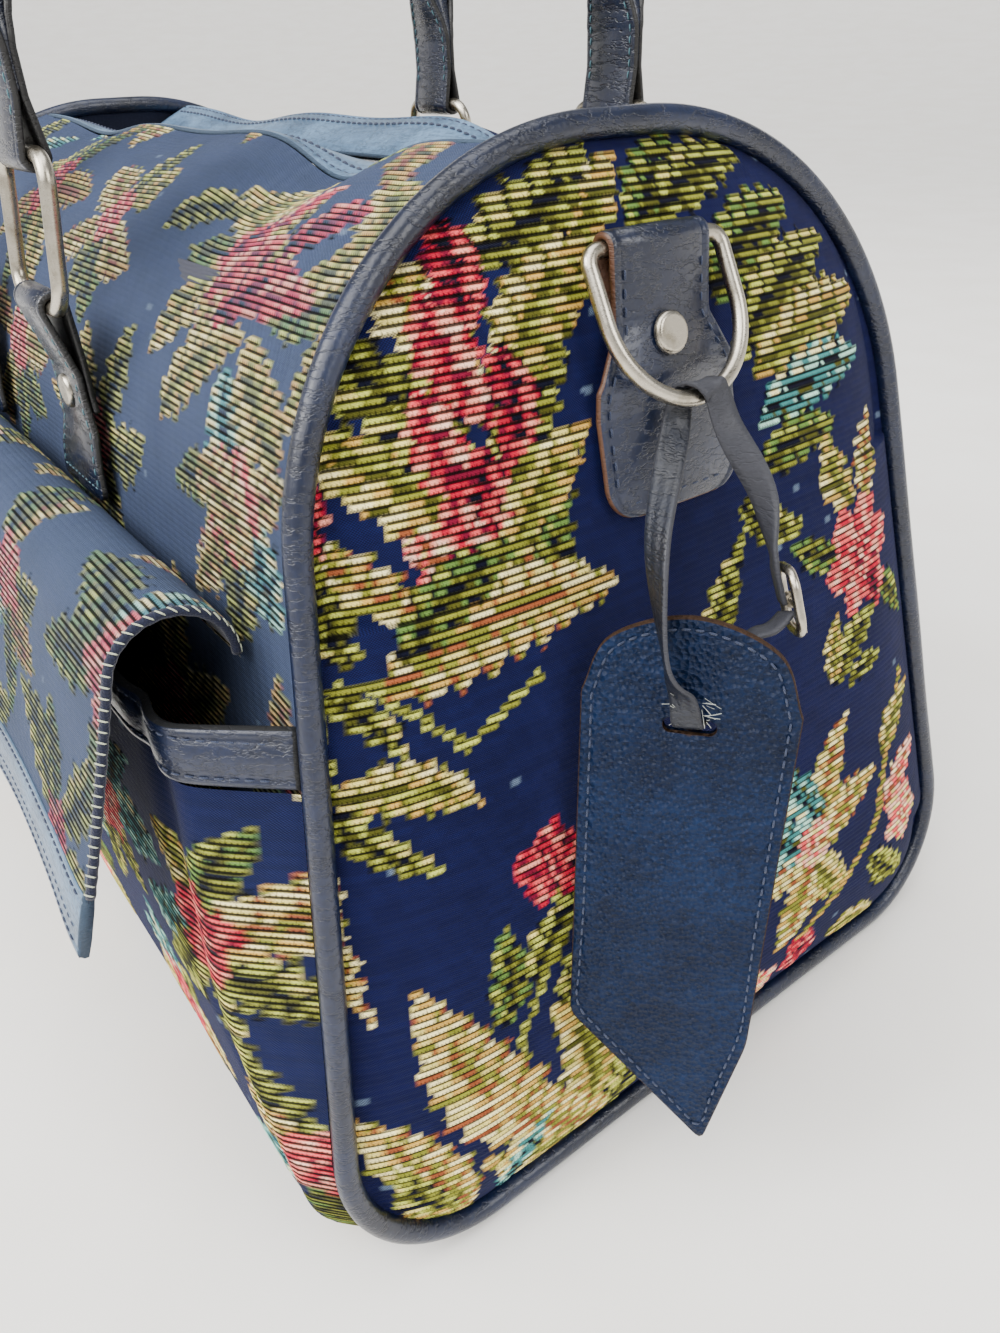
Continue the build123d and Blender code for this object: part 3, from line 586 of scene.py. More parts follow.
@dataclass(frozen=True)
class ClothFinish:
    """Plain woven cloth: lining, tape or board cover."""

    name: str
    colour: str
    fleck: str
    threads: float = 1100.0
    fleck_share: float = 0.25

    def make(self) -> bpy.types.Material:
        """Builds the material.

        Returns:
            The material.
        """
        dye = Dye(self.name)
        x, y, z = dye.parts(dye.place())
        warp = dye.wave(dye.plus(x, y, dye.times(z, 0.7)), self.threads * 4)
        weft = dye.wave(dye.math("SUBTRACT", dye.plus(x, z), y), self.threads * 4)
        weave = dye.line(dye.times(warp, weft), 0.5, 0.5)
        spots = dye.smooth(dye.noise(dye.place(), self.threads * 1.3, 2.0), 0.5, 0.62)
        base = dye.mix(dye.times(spots, self.fleck_share), (*linear(self.colour), 1), (*linear(self.fleck), 1))
        # Painted shade: the cloth is darker in the hollows of its weave, following the bump.
        dye.surface(Base_Color=dye.tint(base, dye.line(weave, 0.4, 0.7)), Roughness=0.85, Sheen_Weight=0.2,
                    Specular_IOR_Level=0.2)
        dye.relief(weave, 0.0001)
        return dye.material


@dataclass(frozen=True)
class ThreadFinish:
    """Sewing thread with its twist."""

    name: str
    colour: str
    twists: float = 11000.0

    def make(self) -> bpy.types.Material:
        """Builds the material.

        Returns:
            The material.
        """
        dye = Dye(self.name)
        x, y, z = dye.parts(dye.place())
        twist = dye.line(dye.wave(dye.plus(x, y, z), self.twists), 0.5, 0.5)
        # Painted shade: the thread is darker in the grooves of its twist, following the bump.
        dye.surface(Base_Color=dye.tint(linear(self.colour), dye.line(twist, 0.4, 0.72)), Roughness=0.6,
                    Sheen_Weight=0.15)
        dye.relief(twist, 0.0001)
        return dye.material


@dataclass(frozen=True)
class MetalFinish:
    """Plated metal with fine rubbing marks."""

    name: str
    colour: str
    tarnish: str
    roughness: float = 0.2

    def make(self) -> bpy.types.Material:
        """Builds the material.

        Returns:
            The material.
        """
        dye = Dye(self.name)
        cloud = dye.noise(dye.place(), 160.0, 4.0)
        rub = dye.noise(dye.place((1.0, 0.25, 1.0)), 1500.0, 3.0, 0.7)
        base = dye.mix(dye.smooth(cloud, 0.42, 0.8), (*linear(self.colour), 1), (*linear(self.tarnish), 1))
        dye.surface(Base_Color=base, Metallic=1.0, Roughness=dye.line(rub, 0.22, self.roughness - 0.06))
        dye.relief(rub, 0.00002)
        return dye.material


@dataclass
class Wardrobe:
    """Every finish of the bag, made once."""

    made: dict[str, bpy.types.Material] = field(default_factory=dict)

    def make(self) -> None:
        """Builds all the materials."""
        finishes = [
            WovenFinish(),
            LeatherFinish("navy_calf", "101a33", "070d1e", "06070b", 700.0, 0.00006, 0.00022, 0.3, 0.2),
            LeatherFinish("navy_glazed", "0d162d", "060b18", "080709", 520.0, 0.00005, 0.0004, 0.24, 0.3),
            LeatherFinish("navy_pebbled", "0b1c38", "051026", "33241a", 640.0, 0.0009, 0.00012, 0.4, 0.0, 0.14),
            LeatherFinish("navy_tab", "101a33", "080e1f", "4a2a14", 760.0, 0.00006, 0.0003, 0.27, 0.3),
            LeatherFinish("strap_hide", "141a28", "0b0d15", "2b2c33", 900.0, 0.00008, 0.0002, 0.42, 0.12),
            # Lighter copy of the navy leather: a painted sheen for the brightly lit facings and hem.
            LeatherFinish("slate_calf", "5a7590", "3d536b", "2c3d50", 700.0, 0.00008, 0.00022, 0.38, 0.1),
            ClothFinish("lining_cotton", "161a2e", "2c3148"),
            ClothFinish("zip_twill", "4a4b50", "c9c9c4", 900.0, 0.8),
            ClothFinish("board_cover", "14151f", "262838"),
            ThreadFinish("navy_thread", "1c2946"),
            ThreadFinish("teal_thread", "3f6a76"),
            ThreadFinish("pale_thread", "b9bfa6"),
            ThreadFinish("fray_thread", "a9ada6"),
            MetalFinish("nickel", "b9b2a4", "8c8474", 0.24),
            MetalFinish("zip_nickel", "a8a49a", "77736a", 0.3),
        ]
        for finish in finishes:
            self.made[finish.name] = finish.make()

    def __getitem__(self, name: str) -> bpy.types.Material:
        """A material by its name."""
        return self.made[name]


# ---- Shape of the bag -------------------------------------------------------------------
class Side(Enum):
    """A side of the bag."""

    @property
    def word(self) -> str:
        """The word for it in names of pieces."""
        return self.name.lower()


class Hand(Side):
    """Which end of the bag, by the sign of its X."""

    RIGHT = 1
    LEFT = -1


class Flank(Side):
    """Which side of the bag, by the sign of its Y."""

    FRONT = -1
    REAR = 1


def ripple(x: Array, y: Array, seed: int, size: float) -> Array:
    """Smooth waves between -1 and 1 over a surface.

    Args:
        x: Places one way, in millimetres.
        y: Places the other way.
        seed: Seed of the waves' phases.
        size: Length of the main wave.

    Returns:
        Wave heights.
    """
    rng = np.random.default_rng(seed)
    total = np.zeros(np.broadcast(x, y).shape)
    for k in range(5):
        angle, phase = rng.uniform(0, math.pi), rng.uniform(0, 2 * math.pi)
        length = size * rng.uniform(0.5, 1.4)
        total = total + np.sin(2 * math.pi * (x * math.cos(angle) + y * math.sin(angle)) / length + phase)
    return total / 5


def unit(vectors: Array) -> Array:
    """Vectors of length one."""
    return vectors / np.maximum(np.linalg.norm(vectors, axis=-1, keepdims=True), 1e-9)


def run_of(line: Array) -> Array:
    """Distances along a polyline."""
    return np.r_[0, np.cumsum(np.linalg.norm(np.diff(line, axis=0), axis=1))]


def facing(path: Array, across: Sequence[float] | Array) -> Array:
    """Outward directions of a strap's face, from its path and the directions of its width."""
    return np.cross(unit(np.gradient(path, axis=0)), across)


def spaced(points: Array, count: int) -> Array:
    """A polyline's points, evenly spaced along it.

    Args:
        points: Corners of the polyline (n, d).
        count: Number of points wanted.

    Returns:
        Points (count, d).
    """
    steps = run_of(points)
    at = np.linspace(0, steps[-1], count)
    return np.stack([np.interp(at, steps, points[:, k]) for k in range(points.shape[1])], axis=1)


def eased(points: Sequence[Sequence[float]], per_span: int = 8) -> Array:
    """A smooth curve through points.

    Args:
        points: Points to pass through.
        per_span: Steps between two of them.

    Returns:
        Points along a Catmull-Rom curve.
    """
    p = np.array(points, float)
    p = np.vstack([2 * p[0] - p[1], p, 2 * p[-1] - p[-2]])
    made = []
    for i in range(1, len(p) - 2):
        t = np.linspace(0, 1, per_span, endpoint=False)[:, None]
        a, b, c, d = p[i - 1], p[i], p[i + 1], p[i + 2]
        made.append(0.5 * (2 * b + (c - a) * t + (2 * a - 5 * b + 4 * c - d) * t**2 + (3 * b - a - 3 * c + d) * t**3))
    return np.vstack(made + [p[-2:-1]])


@dataclass(frozen=True)
class BagForm:
    """The bag's overall shape, which every sub-assembly follows."""

    mid_half_length: float = 225.0
    mid_z: float = 140.0
    lean: float = math.radians(11.1)
    top_z: float = 309.0
    bottom_z: float = 3.0
    crown_radius: float = 107.0
    crown_half_flat: float = 10.0
    base_radius: float = 46.0
    base_half_flat: float = 98.0
    crest_y: float = 36.0
    chain_z: float = 290.0
    dome_height: float = 17.6
    dome_edge: float = 6.4
    dome_ease: float = 22.0
    corner_blur: float = 7.0
    dips: tuple[Triple, ...] = ((112.0, 30.0, 12.5), (8.0, 44.0, 2.5), (-105.0, 42.0, 6.0))

    def corner_arcs(self, inset: float) -> tuple[Triple, Triple, float]:
        """Arcs of an end panel's outline.

        Args:
            inset: How far inside the outline they run.

        Returns:
            Centre and radius of the shoulder arc and of the bottom arc, and the angle where the side leaves them.
        """
        crown = self.crown_radius - inset
        base = self.base_radius - inset
        crown_v = (self.top_z - self.mid_z) / math.cos(self.lean) - inset - crown
        base_v = (self.bottom_z - self.mid_z) / math.cos(self.lean) + inset + base
        run, rise = self.crown_half_flat - self.base_half_flat, crown_v - base_v
        side = math.atan2(rise, run) - math.acos((base - crown) / math.hypot(run, rise))
        return (self.crown_half_flat, crown_v, crown), (self.base_half_flat, base_v, base), side

    def outline(self, inset: float) -> Array:
        """Right half of an end panel's outline.

        Args:
            inset: How far inside it the line runs.

        Returns:
            Points (n, 2) from the middle of its top to the middle of its bottom.
        """
        crown, base, side = self.corner_arcs(inset)
        made = [(0.0, crown[1] + crown[2])]
        made += [(crown[0] + crown[2] * math.cos(a), crown[1] + crown[2] * math.sin(a))
                 for a in np.linspace(math.pi / 2, side, 60)]
        made += [(base[0] + base[2] * math.cos(a), base[1] + base[2] * math.sin(a))
                 for a in np.linspace(side, -math.pi / 2, 40)]
        made.append((0.0, base[1] - base[2]))
        return np.array(made)

    def half_width(self, v: Array, inset: float = 0.0) -> Array:
        """Half width of the outline at heights along the end panel."""
        line = self.outline(inset)[1:-1]
        return np.interp(-np.asarray(v, float), -line[:, 1], line[:, 0])

    def wall_y(self, z: Array, inset: float = 0.0) -> Array:
        """Half width of the body at heights above the floor."""
        return self.half_width((np.asarray(z, float) - self.mid_z) / math.cos(self.lean), inset)

    def end_x(self, z: Array) -> Array:
        """Half length of the body at heights above the floor."""
        return self.mid_half_length - (np.asarray(z, float) - self.mid_z) * math.tan(self.lean)

    def end_point(self, u: Array, v: Array, w: Array) -> Array:
        """Points on the right end plane.

        Args:
            u: Distances sideways.
            v: Distances upward along the plane.
            w: Distances outward.

        Returns:
            The points (..., 3).
        """
        u, v, w = np.broadcast_arrays(np.asarray(u, float), np.asarray(v, float), np.asarray(w, float))
        c, s = math.cos(self.lean), math.sin(self.lean)
        return np.stack([self.mid_half_length - v * s + w * c, u, self.mid_z + v * c + w * s], axis=-1)

    def inset_of(self, u: Array, v: Array) -> Array:
        """Distance of places on the end panel from its outline, smoothed in its corners.

        Args:
            u: Distances sideways.
            v: Distances upward along the plane.

        Returns:
            The distances.
        """
        crown, base, side = self.corner_arcs(0.0)
        u = np.abs(u)
        foot = np.array([base[0] + base[2] * math.cos(side), base[1] + base[2] * math.sin(side)])
        to_side = (foot[0] - u) * math.cos(side) + (foot[1] - v) * math.sin(side)
        to_top = crown[2] - np.hypot(np.maximum(u - crown[0], 0), np.maximum(v - crown[1], 0))
        to_top = np.where(v > crown[1], to_top, FAR)
        beyond = np.hypot(np.maximum(u - base[0], 0), np.maximum(base[1] - v, 0))
        to_low = np.where((u > base[0]) & (v < base[1]), base[2] - beyond, v - (base[1] - base[2]))
        blur = self.corner_blur
        return -blur * np.log(np.exp(-to_side / blur) + np.exp(-to_top / blur) + np.exp(-to_low / blur))

    def dome(self, u: Array, v: Array) -> Array:
        """Height of the end panel's bulge above its plane."""
        deep = np.maximum(self.inset_of(u, v) - self.dome_edge + 1.5, 0)
        return self.dome_height * (1 - np.exp(-deep / self.dome_ease))

    def section(self, inset: float, count: int = 300) -> Array:
        """Front half of the body's section.

        Args:
            inset: How far inside the body it runs.
            count: Number of points.

        Returns:
            Points (y, z) from the crest down to the middle of the base.
        """
        line = self.outline(inset)
        flat = np.stack([-line[:, 0], self.mid_z + line[:, 1] * math.cos(self.lean)], axis=1)
        line = spaced(flat, 4 * count)
        return spaced(line[line[:, 0] < -self.crest_y + 0.5], count)

    def dip(self, x: Array) -> Array:
        """How far the soft top sinks along the zip."""
        return sum(depth * np.exp(-(((np.asarray(x, float) - at) / reach) ** 2)) for at, reach, depth in self.dips)


# ---- Mesh making ------------------------------------------------------------------------
@dataclass
class Mould:
    """Collects the points and faces of one mesh, in millimetres of the design frame."""

    points: list[Array] = field(default_factory=list)
    faces: list[list[int]] = field(default_factory=list)
    raw: list[Array] = field(default_factory=list)
    count: int = 0

    def add(self, points: Array, faces: Sequence[Sequence[int]], raw: Array | float = 0.0) -> None:
        """Adds points with their faces.

        Args:
            points: Points (n, 3).
            faces: Faces that number those points from 0.
            raw: 1 where a cut edge or the flesh side shows, 0 on the finished face.
        """
        start = self.count
        self.points.append(points)
        self.faces += [[start + k for k in face] for face in faces]
        self.raw.append(np.broadcast_to(np.asarray(raw, float), len(points)))
        self.count += len(points)

    def grid(self, points: Array, wrap_rows: bool = False, wrap_columns: bool = False,
             capped: bool = False, raw: Array | float = 0.0) -> None:
        """Adds a grid of quads.

        Args:
            points: Points (rows, columns, 3).
            wrap_rows: Joins the last row to the first.
            wrap_columns: Joins the last column to the first.
            capped: Closes the first and last rows with a face each.
            raw: Flesh-side share, one number or one for each point.
        """
        rows, columns = points.shape[:2]
        index = np.arange(rows * columns).reshape(rows, columns)
        if wrap_rows:
            index = np.vstack([index, index[:1]])
        if wrap_columns:
            index = np.hstack([index, index[:, :1]])
        quads = np.stack([index[:-1, :-1], index[:-1, 1:], index[1:, 1:], index[1:, :-1]], axis=-1).reshape(-1, 4)
        faces = quads.tolist()
        if capped:
            faces.append(list(range(columns))[::-1])
            faces.append([(rows - 1) * columns + k for k in range(columns)])
        if isinstance(raw, Array):
            raw = raw.reshape(-1)
        self.add(points.reshape(-1, 3), faces, raw)

    def tube(self, path: Array, radius: Array | float, sides: int = 12, closed: bool = False) -> None:
        """Adds a round tube.

        Args:
            path: Centre line (n, 3).
            radius: One radius, or one for each point.
            sides: Points round the tube.
            closed: Joins the tube's ends.
        """
        tangent = unit(np.roll(path, -1, 0) - np.roll(path, 1, 0)) if closed else unit(np.gradient(path, axis=0))
        normal = np.zeros_like(path)
        start = np.cross(tangent[0], (0.0, 0.0, 1.0))
        normal[0] = unit(start if np.linalg.norm(start) > 0.2 else np.cross(tangent[0], (0.0, 1.0, 0.0)))
        for k in range(1, len(path)):
            normal[k] = unit(normal[k - 1] - tangent[k] * (normal[k - 1] @ tangent[k]))
        side = np.cross(tangent, normal)
        if closed:
            miss = math.atan2(float(normal[-1] @ side[0]), float(normal[-1] @ normal[0]))
            turn = -miss * np.linspace(0, 1, len(path))[:, None]
            normal, side = normal * np.cos(turn) + side * np.sin(turn), side * np.cos(turn) - normal * np.sin(turn)
        angle = np.linspace(0, 2 * math.pi, sides, endpoint=False)
        reach = np.broadcast_to(np.asarray(radius, float), len(path))[:, None, None]
        ring = normal[:, None] * np.cos(angle)[None, :, None] + side[:, None] * np.sin(angle)[None, :, None]
        self.grid(path[:, None] + reach * ring, wrap_rows=closed, wrap_columns=True, capped=not closed)

    def strap(self, path: Array, across: Array, half: Array | float, wall: float,
              crown: float = 0.25, groove: float = 0.22, closed: bool = False) -> None:
        """Adds a flat strap with crowned face, stitched grooves and cut edges.

        Args:
            path: Middle of the strap (n, 3).
            across: Directions of its width; its face looks along the path's direction crossed with them.
            half: Half width, one number or one for each point.
            wall: Thickness.
            crown: How much the face stands up in its middle.
            groove: Depth of the two grooves beside the edges.
            closed: Joins the strap's ends.
        """
        tangent = unit(np.roll(path, -1, 0) - np.roll(path, 1, 0)) if closed else unit(np.gradient(path, axis=0))
        across = np.broadcast_to(np.asarray(across, float), path.shape)
        across = unit(across - tangent * np.sum(across * tangent, axis=1, keepdims=True))
        face = np.cross(tangent, across)
        half = np.broadcast_to(np.asarray(half, float), len(path))
        scale = np.minimum(1.0, half / 5.0)
        steps = [(0.22 * wall, 0.36, 0.0, 1.0), (0.7, 0.5, 0.0, 0.0), (2.2, 0.5, 0.6 * crown, 0.0),
                 (3.0, 0.5, -groove, 0.0), (3.8, 0.5, 0.7 * crown, 0.0)]
        x: list[Array] = []
        y: list[Array] = []
        raw: list[float] = []

        def put(place: Array, height: float, bare: float) -> None:
            """Adds one point of the section at every station.

            Args:
                place: Distances from the middle of the strap.
                height: Height above its middle plane.
                bare: 1 where the cut edge or the flesh side shows.
            """
            x.append(place)
            y.append(np.full(len(path), height))
            raw.append(bare)

        for inset, level, lift, bare in steps:
            put(-half + inset * scale, level * wall + lift, bare)
        put(np.zeros(len(path)), 0.5 * wall + crown, 0.0)
        for inset, level, lift, bare in reversed(steps):
            put(half - inset * scale, level * wall + lift, bare)
        put(half, 0.0, 1.0)
        for share in (0.985, 0.5, 0.0, -0.5, -0.985):
            put(half * share, -0.46 * wall if abs(share) < 0.9 else -0.36 * wall, 1.0)
        put(-half, 0.0, 1.0)
        xs, ys = np.stack(x, axis=1), np.stack(y, axis=1)
        ring = path[:, None] + across[:, None] * xs[..., None] + face[:, None] * ys[..., None]
        bare = np.broadcast_to(np.array(raw), xs.shape).copy()
        if not closed:
            bare[0] = bare[-1] = 1.0
        self.grid(ring, wrap_rows=closed, wrap_columns=True, capped=not closed, raw=bare)

    def stitches(self, path: Array, face: Array, pitch: float = 4.0, length: float = 2.9,
                 radius: float = 0.36, across: Array | None = None) -> None:
        """Adds a row of sewn stitches.

        Args:
            path: Line that the stitches follow on the surface.
            face: Surface's outward directions, one or one for each point.
            pitch: Distance from stitch to stitch.
            length: Length of one stitch.
            radius: Radius of the thread.
            across: Direction of each stitch, where they don't run along the line.
        """
        face = np.broadcast_to(np.asarray(face, float), path.shape)
        number = max(2, int(run_of(path)[-1] / pitch))
        both = spaced(np.hstack([path, face * 1e-3]), 2 * number + 1)[1::2]
        middle, out = both[:, :3], unit(both[:, 3:])
        along = unit(np.gradient(middle, axis=0)) if across is None else np.broadcast_to(across, middle.shape)
        along = unit(along - out * np.sum(along * out, axis=1, keepdims=True))
        side = np.cross(out, along)
        angle = np.linspace(0, 2 * math.pi, 6, endpoint=False)
        half = [[-0.5, 0.25, -0.9], [-0.36, 0.85, 0.25]]
        steps = np.array(half + [[0.0, 1.0, 0.5]] + [[-at, thick, lift] for at, thick, lift in half[::-1]])
        ring = out[:, None] * np.cos(angle)[None, :, None] + side[:, None] * np.sin(angle)[None, :, None]
        for k in range(number):
            centre = middle[k] + along[k] * (steps[:, :1] * length) + out[k] * (steps[:, 2:] * radius)
            loops = centre[:, None] + ring[k][None] * (steps[:, 1:2, None] * radius)
            self.grid(loops, wrap_columns=True, capped=True)

    def join(self, other: "Mould") -> None:
        """Adds another mould's mesh to this one."""
        self.add(np.vstack(other.points), other.faces, np.concatenate(other.raw))

    def mirrored(self, signs: Triple) -> "Mould":
        """A copy with some coordinates turned over, its faces still looking outward.

        Args:
            signs: 1 or -1 for each coordinate.

        Returns:
            The copy.
        """
        flip = signs[0] * signs[1] * signs[2] < 0
        faces = [f[::-1] for f in self.faces] if flip else [list(f) for f in self.faces]
        return Mould([p * np.array(signs) for p in self.points], faces, list(self.raw), self.count)


@dataclass
class Bench:
    """Where pieces are made: knows the frame, the finishes and the bag's shape."""

    frame: dict
    wardrobe: Wardrobe
    form: BagForm
    shift: Array

    def place(self, points: Array) -> Array:
        """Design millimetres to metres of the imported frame."""
        return (points + self.shift) * MM

    def build(self, name: str, mould: Mould, finish: str, body: str, nodes: Sequence[str] = (), slot: str = "",
              extra: dict[str, Array] | None = None) -> bpy.types.Object:
        """Makes a piece that rides on a body.

        Args:
            name: Name of the piece.
            mould: Its mesh.
            finish: Name of its material.
            body: Body that it moves with.
            nodes: Solids that it stands for.
            slot: Material slot of the record; not used.
            extra: More attributes: colours (n, 4) or vectors (n, 3).

        Returns:
            The new object.
        """
        mesh = bpy.data.meshes.new(name)
        mesh.from_pydata(self.place(np.vstack(mould.points)).tolist(), [], mould.faces)
        bare = np.concatenate(mould.raw).astype(np.float32)
        mesh.attributes.new("raw", "FLOAT", "POINT").data.foreach_set("value", bare)
        for key, values in (extra or {}).items():
            kind, prop = ("FLOAT_COLOR", "color") if values.shape[1] == 4 else ("FLOAT_VECTOR", "vector")
            mesh.attributes.new(key, kind, "POINT").data.foreach_set(prop, values.astype(np.float32).ravel())
        mesh.polygons.foreach_set("use_smooth", np.ones(len(mesh.polygons), bool))
        mesh.materials.append(self.wardrobe[finish])
        mesh.update()
        piece = bpy.data.objects.new(name, mesh)
        return self.settle(piece, body, nodes)

    def settle(self, piece: bpy.types.Object, body: str, nodes: Sequence[str]) -> bpy.types.Object:
        """Links a piece, rides it on its body and hides the solids that it stands for.

        Args:
            piece: The piece.
            body: Body that it moves with.
            nodes: Solids that it stands for.

        Returns:
            The same piece.
        """
        bpy.context.scene.collection.objects.link(piece)
        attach(piece, body)
        if nodes:
            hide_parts(*nodes)
        LOG.info("%s on %s: %d points", piece.name, body, len(piece.data.vertices))
        return piece

    def sew(self, names: tuple[str, str], moulds: tuple[Mould, Mould], finishes: tuple[str, str], body: str,
            node: str, slot: str, signs: Triple = (1, 1, 1)) -> None:
        """Makes a leather piece and its stitches.

        Args:
            names: Names of the leather and of the thread.
            moulds: Their meshes.
            finishes: Their materials.
            body: Body that they move with.
            node: Solid that the leather stands for.
            slot: Name of a material slot, handed on to build.
            signs: Coordinates to turn over, as in Mould.mirrored.
        """
        leather, thread = (mould.mirrored(signs) for mould in moulds)
        self.build(names[0], leather, finishes[0], body, [node], slot)
        self.build(names[1], thread, finishes[1], body)

    def dress(self, finish: str, *nodes: str) -> None:
        """Gives solids that stay on show their finish.

        Args:
            finish: Name of the material.
            nodes: Names of the solids.
        """
        for name in nodes:
            piece = self.frame["nodes"][name]
            piece.data.materials.clear()
            piece.data.materials.append(self.wardrobe[finish])
            LOG.info("%s keeps its solid, finish %s", name, finish)

    def weave(self, name: str, cloth: Tapestry, surface: Surface, reach: tuple[float, float], columns: int, body: str,
              nodes: Sequence[str], fine: bool = False, relief: float = 0.42,
              flip: bool = False) -> bpy.types.Object:
        """Makes a woven panel whose wefts stand up as ribs.

        Args:
            name: Name of the panel.
            cloth: Its design.
            surface: From shares across the panel (-1 to 1) and places across the wefts, its points and places
                along the wefts.
            reach: First and last place across the wefts.
            columns: Points along each weft.
            body: Body that it moves with.
            nodes: Solids that it stands for.
            fine: Three lines of points for each weft, where two are enough for a far panel.
            relief: Height of a floating yarn.
            flip: Turns the ribs to the other side.

        Returns:
            The panel.
        """
        lines = np.array([[0.1, 0.0], [0.5, 1.0], [0.9, 0.0]] if fine else [[0.08, 0.0], [0.6, 1.0]])
        wefts = int((reach[1] - reach[0]) / cloth.pitch)
        b = reach[0] + (np.arange(wefts)[:, None] + lines[None, :, 0]).ravel() * cloth.pitch
        share = np.linspace(-1, 1, columns)
        grid_f, grid_b = np.meshgrid(share, b)
        points, a = surface(grid_f, grid_b)
        normal = unit(np.cross(np.gradient(points, axis=1), np.gradient(points, axis=0)))
        colour, floats = cloth.colours(a, grid_b)
        height = np.tile(lines[:, 1], wefts)[:, None] * (0.22 + 0.78 * floats) * relief
        points = points + normal * height[..., None] * (-1 if flip else 1)
        mould = Mould()
        mould.grid(points)
        weave = np.stack([a, grid_b, floats], axis=-1).reshape(-1, 3)
        return self.build(name, mould, "tapestry_weave", body, nodes, "tapestry",
                          {"yarn": colour.reshape(-1, 4), "weave": weave})


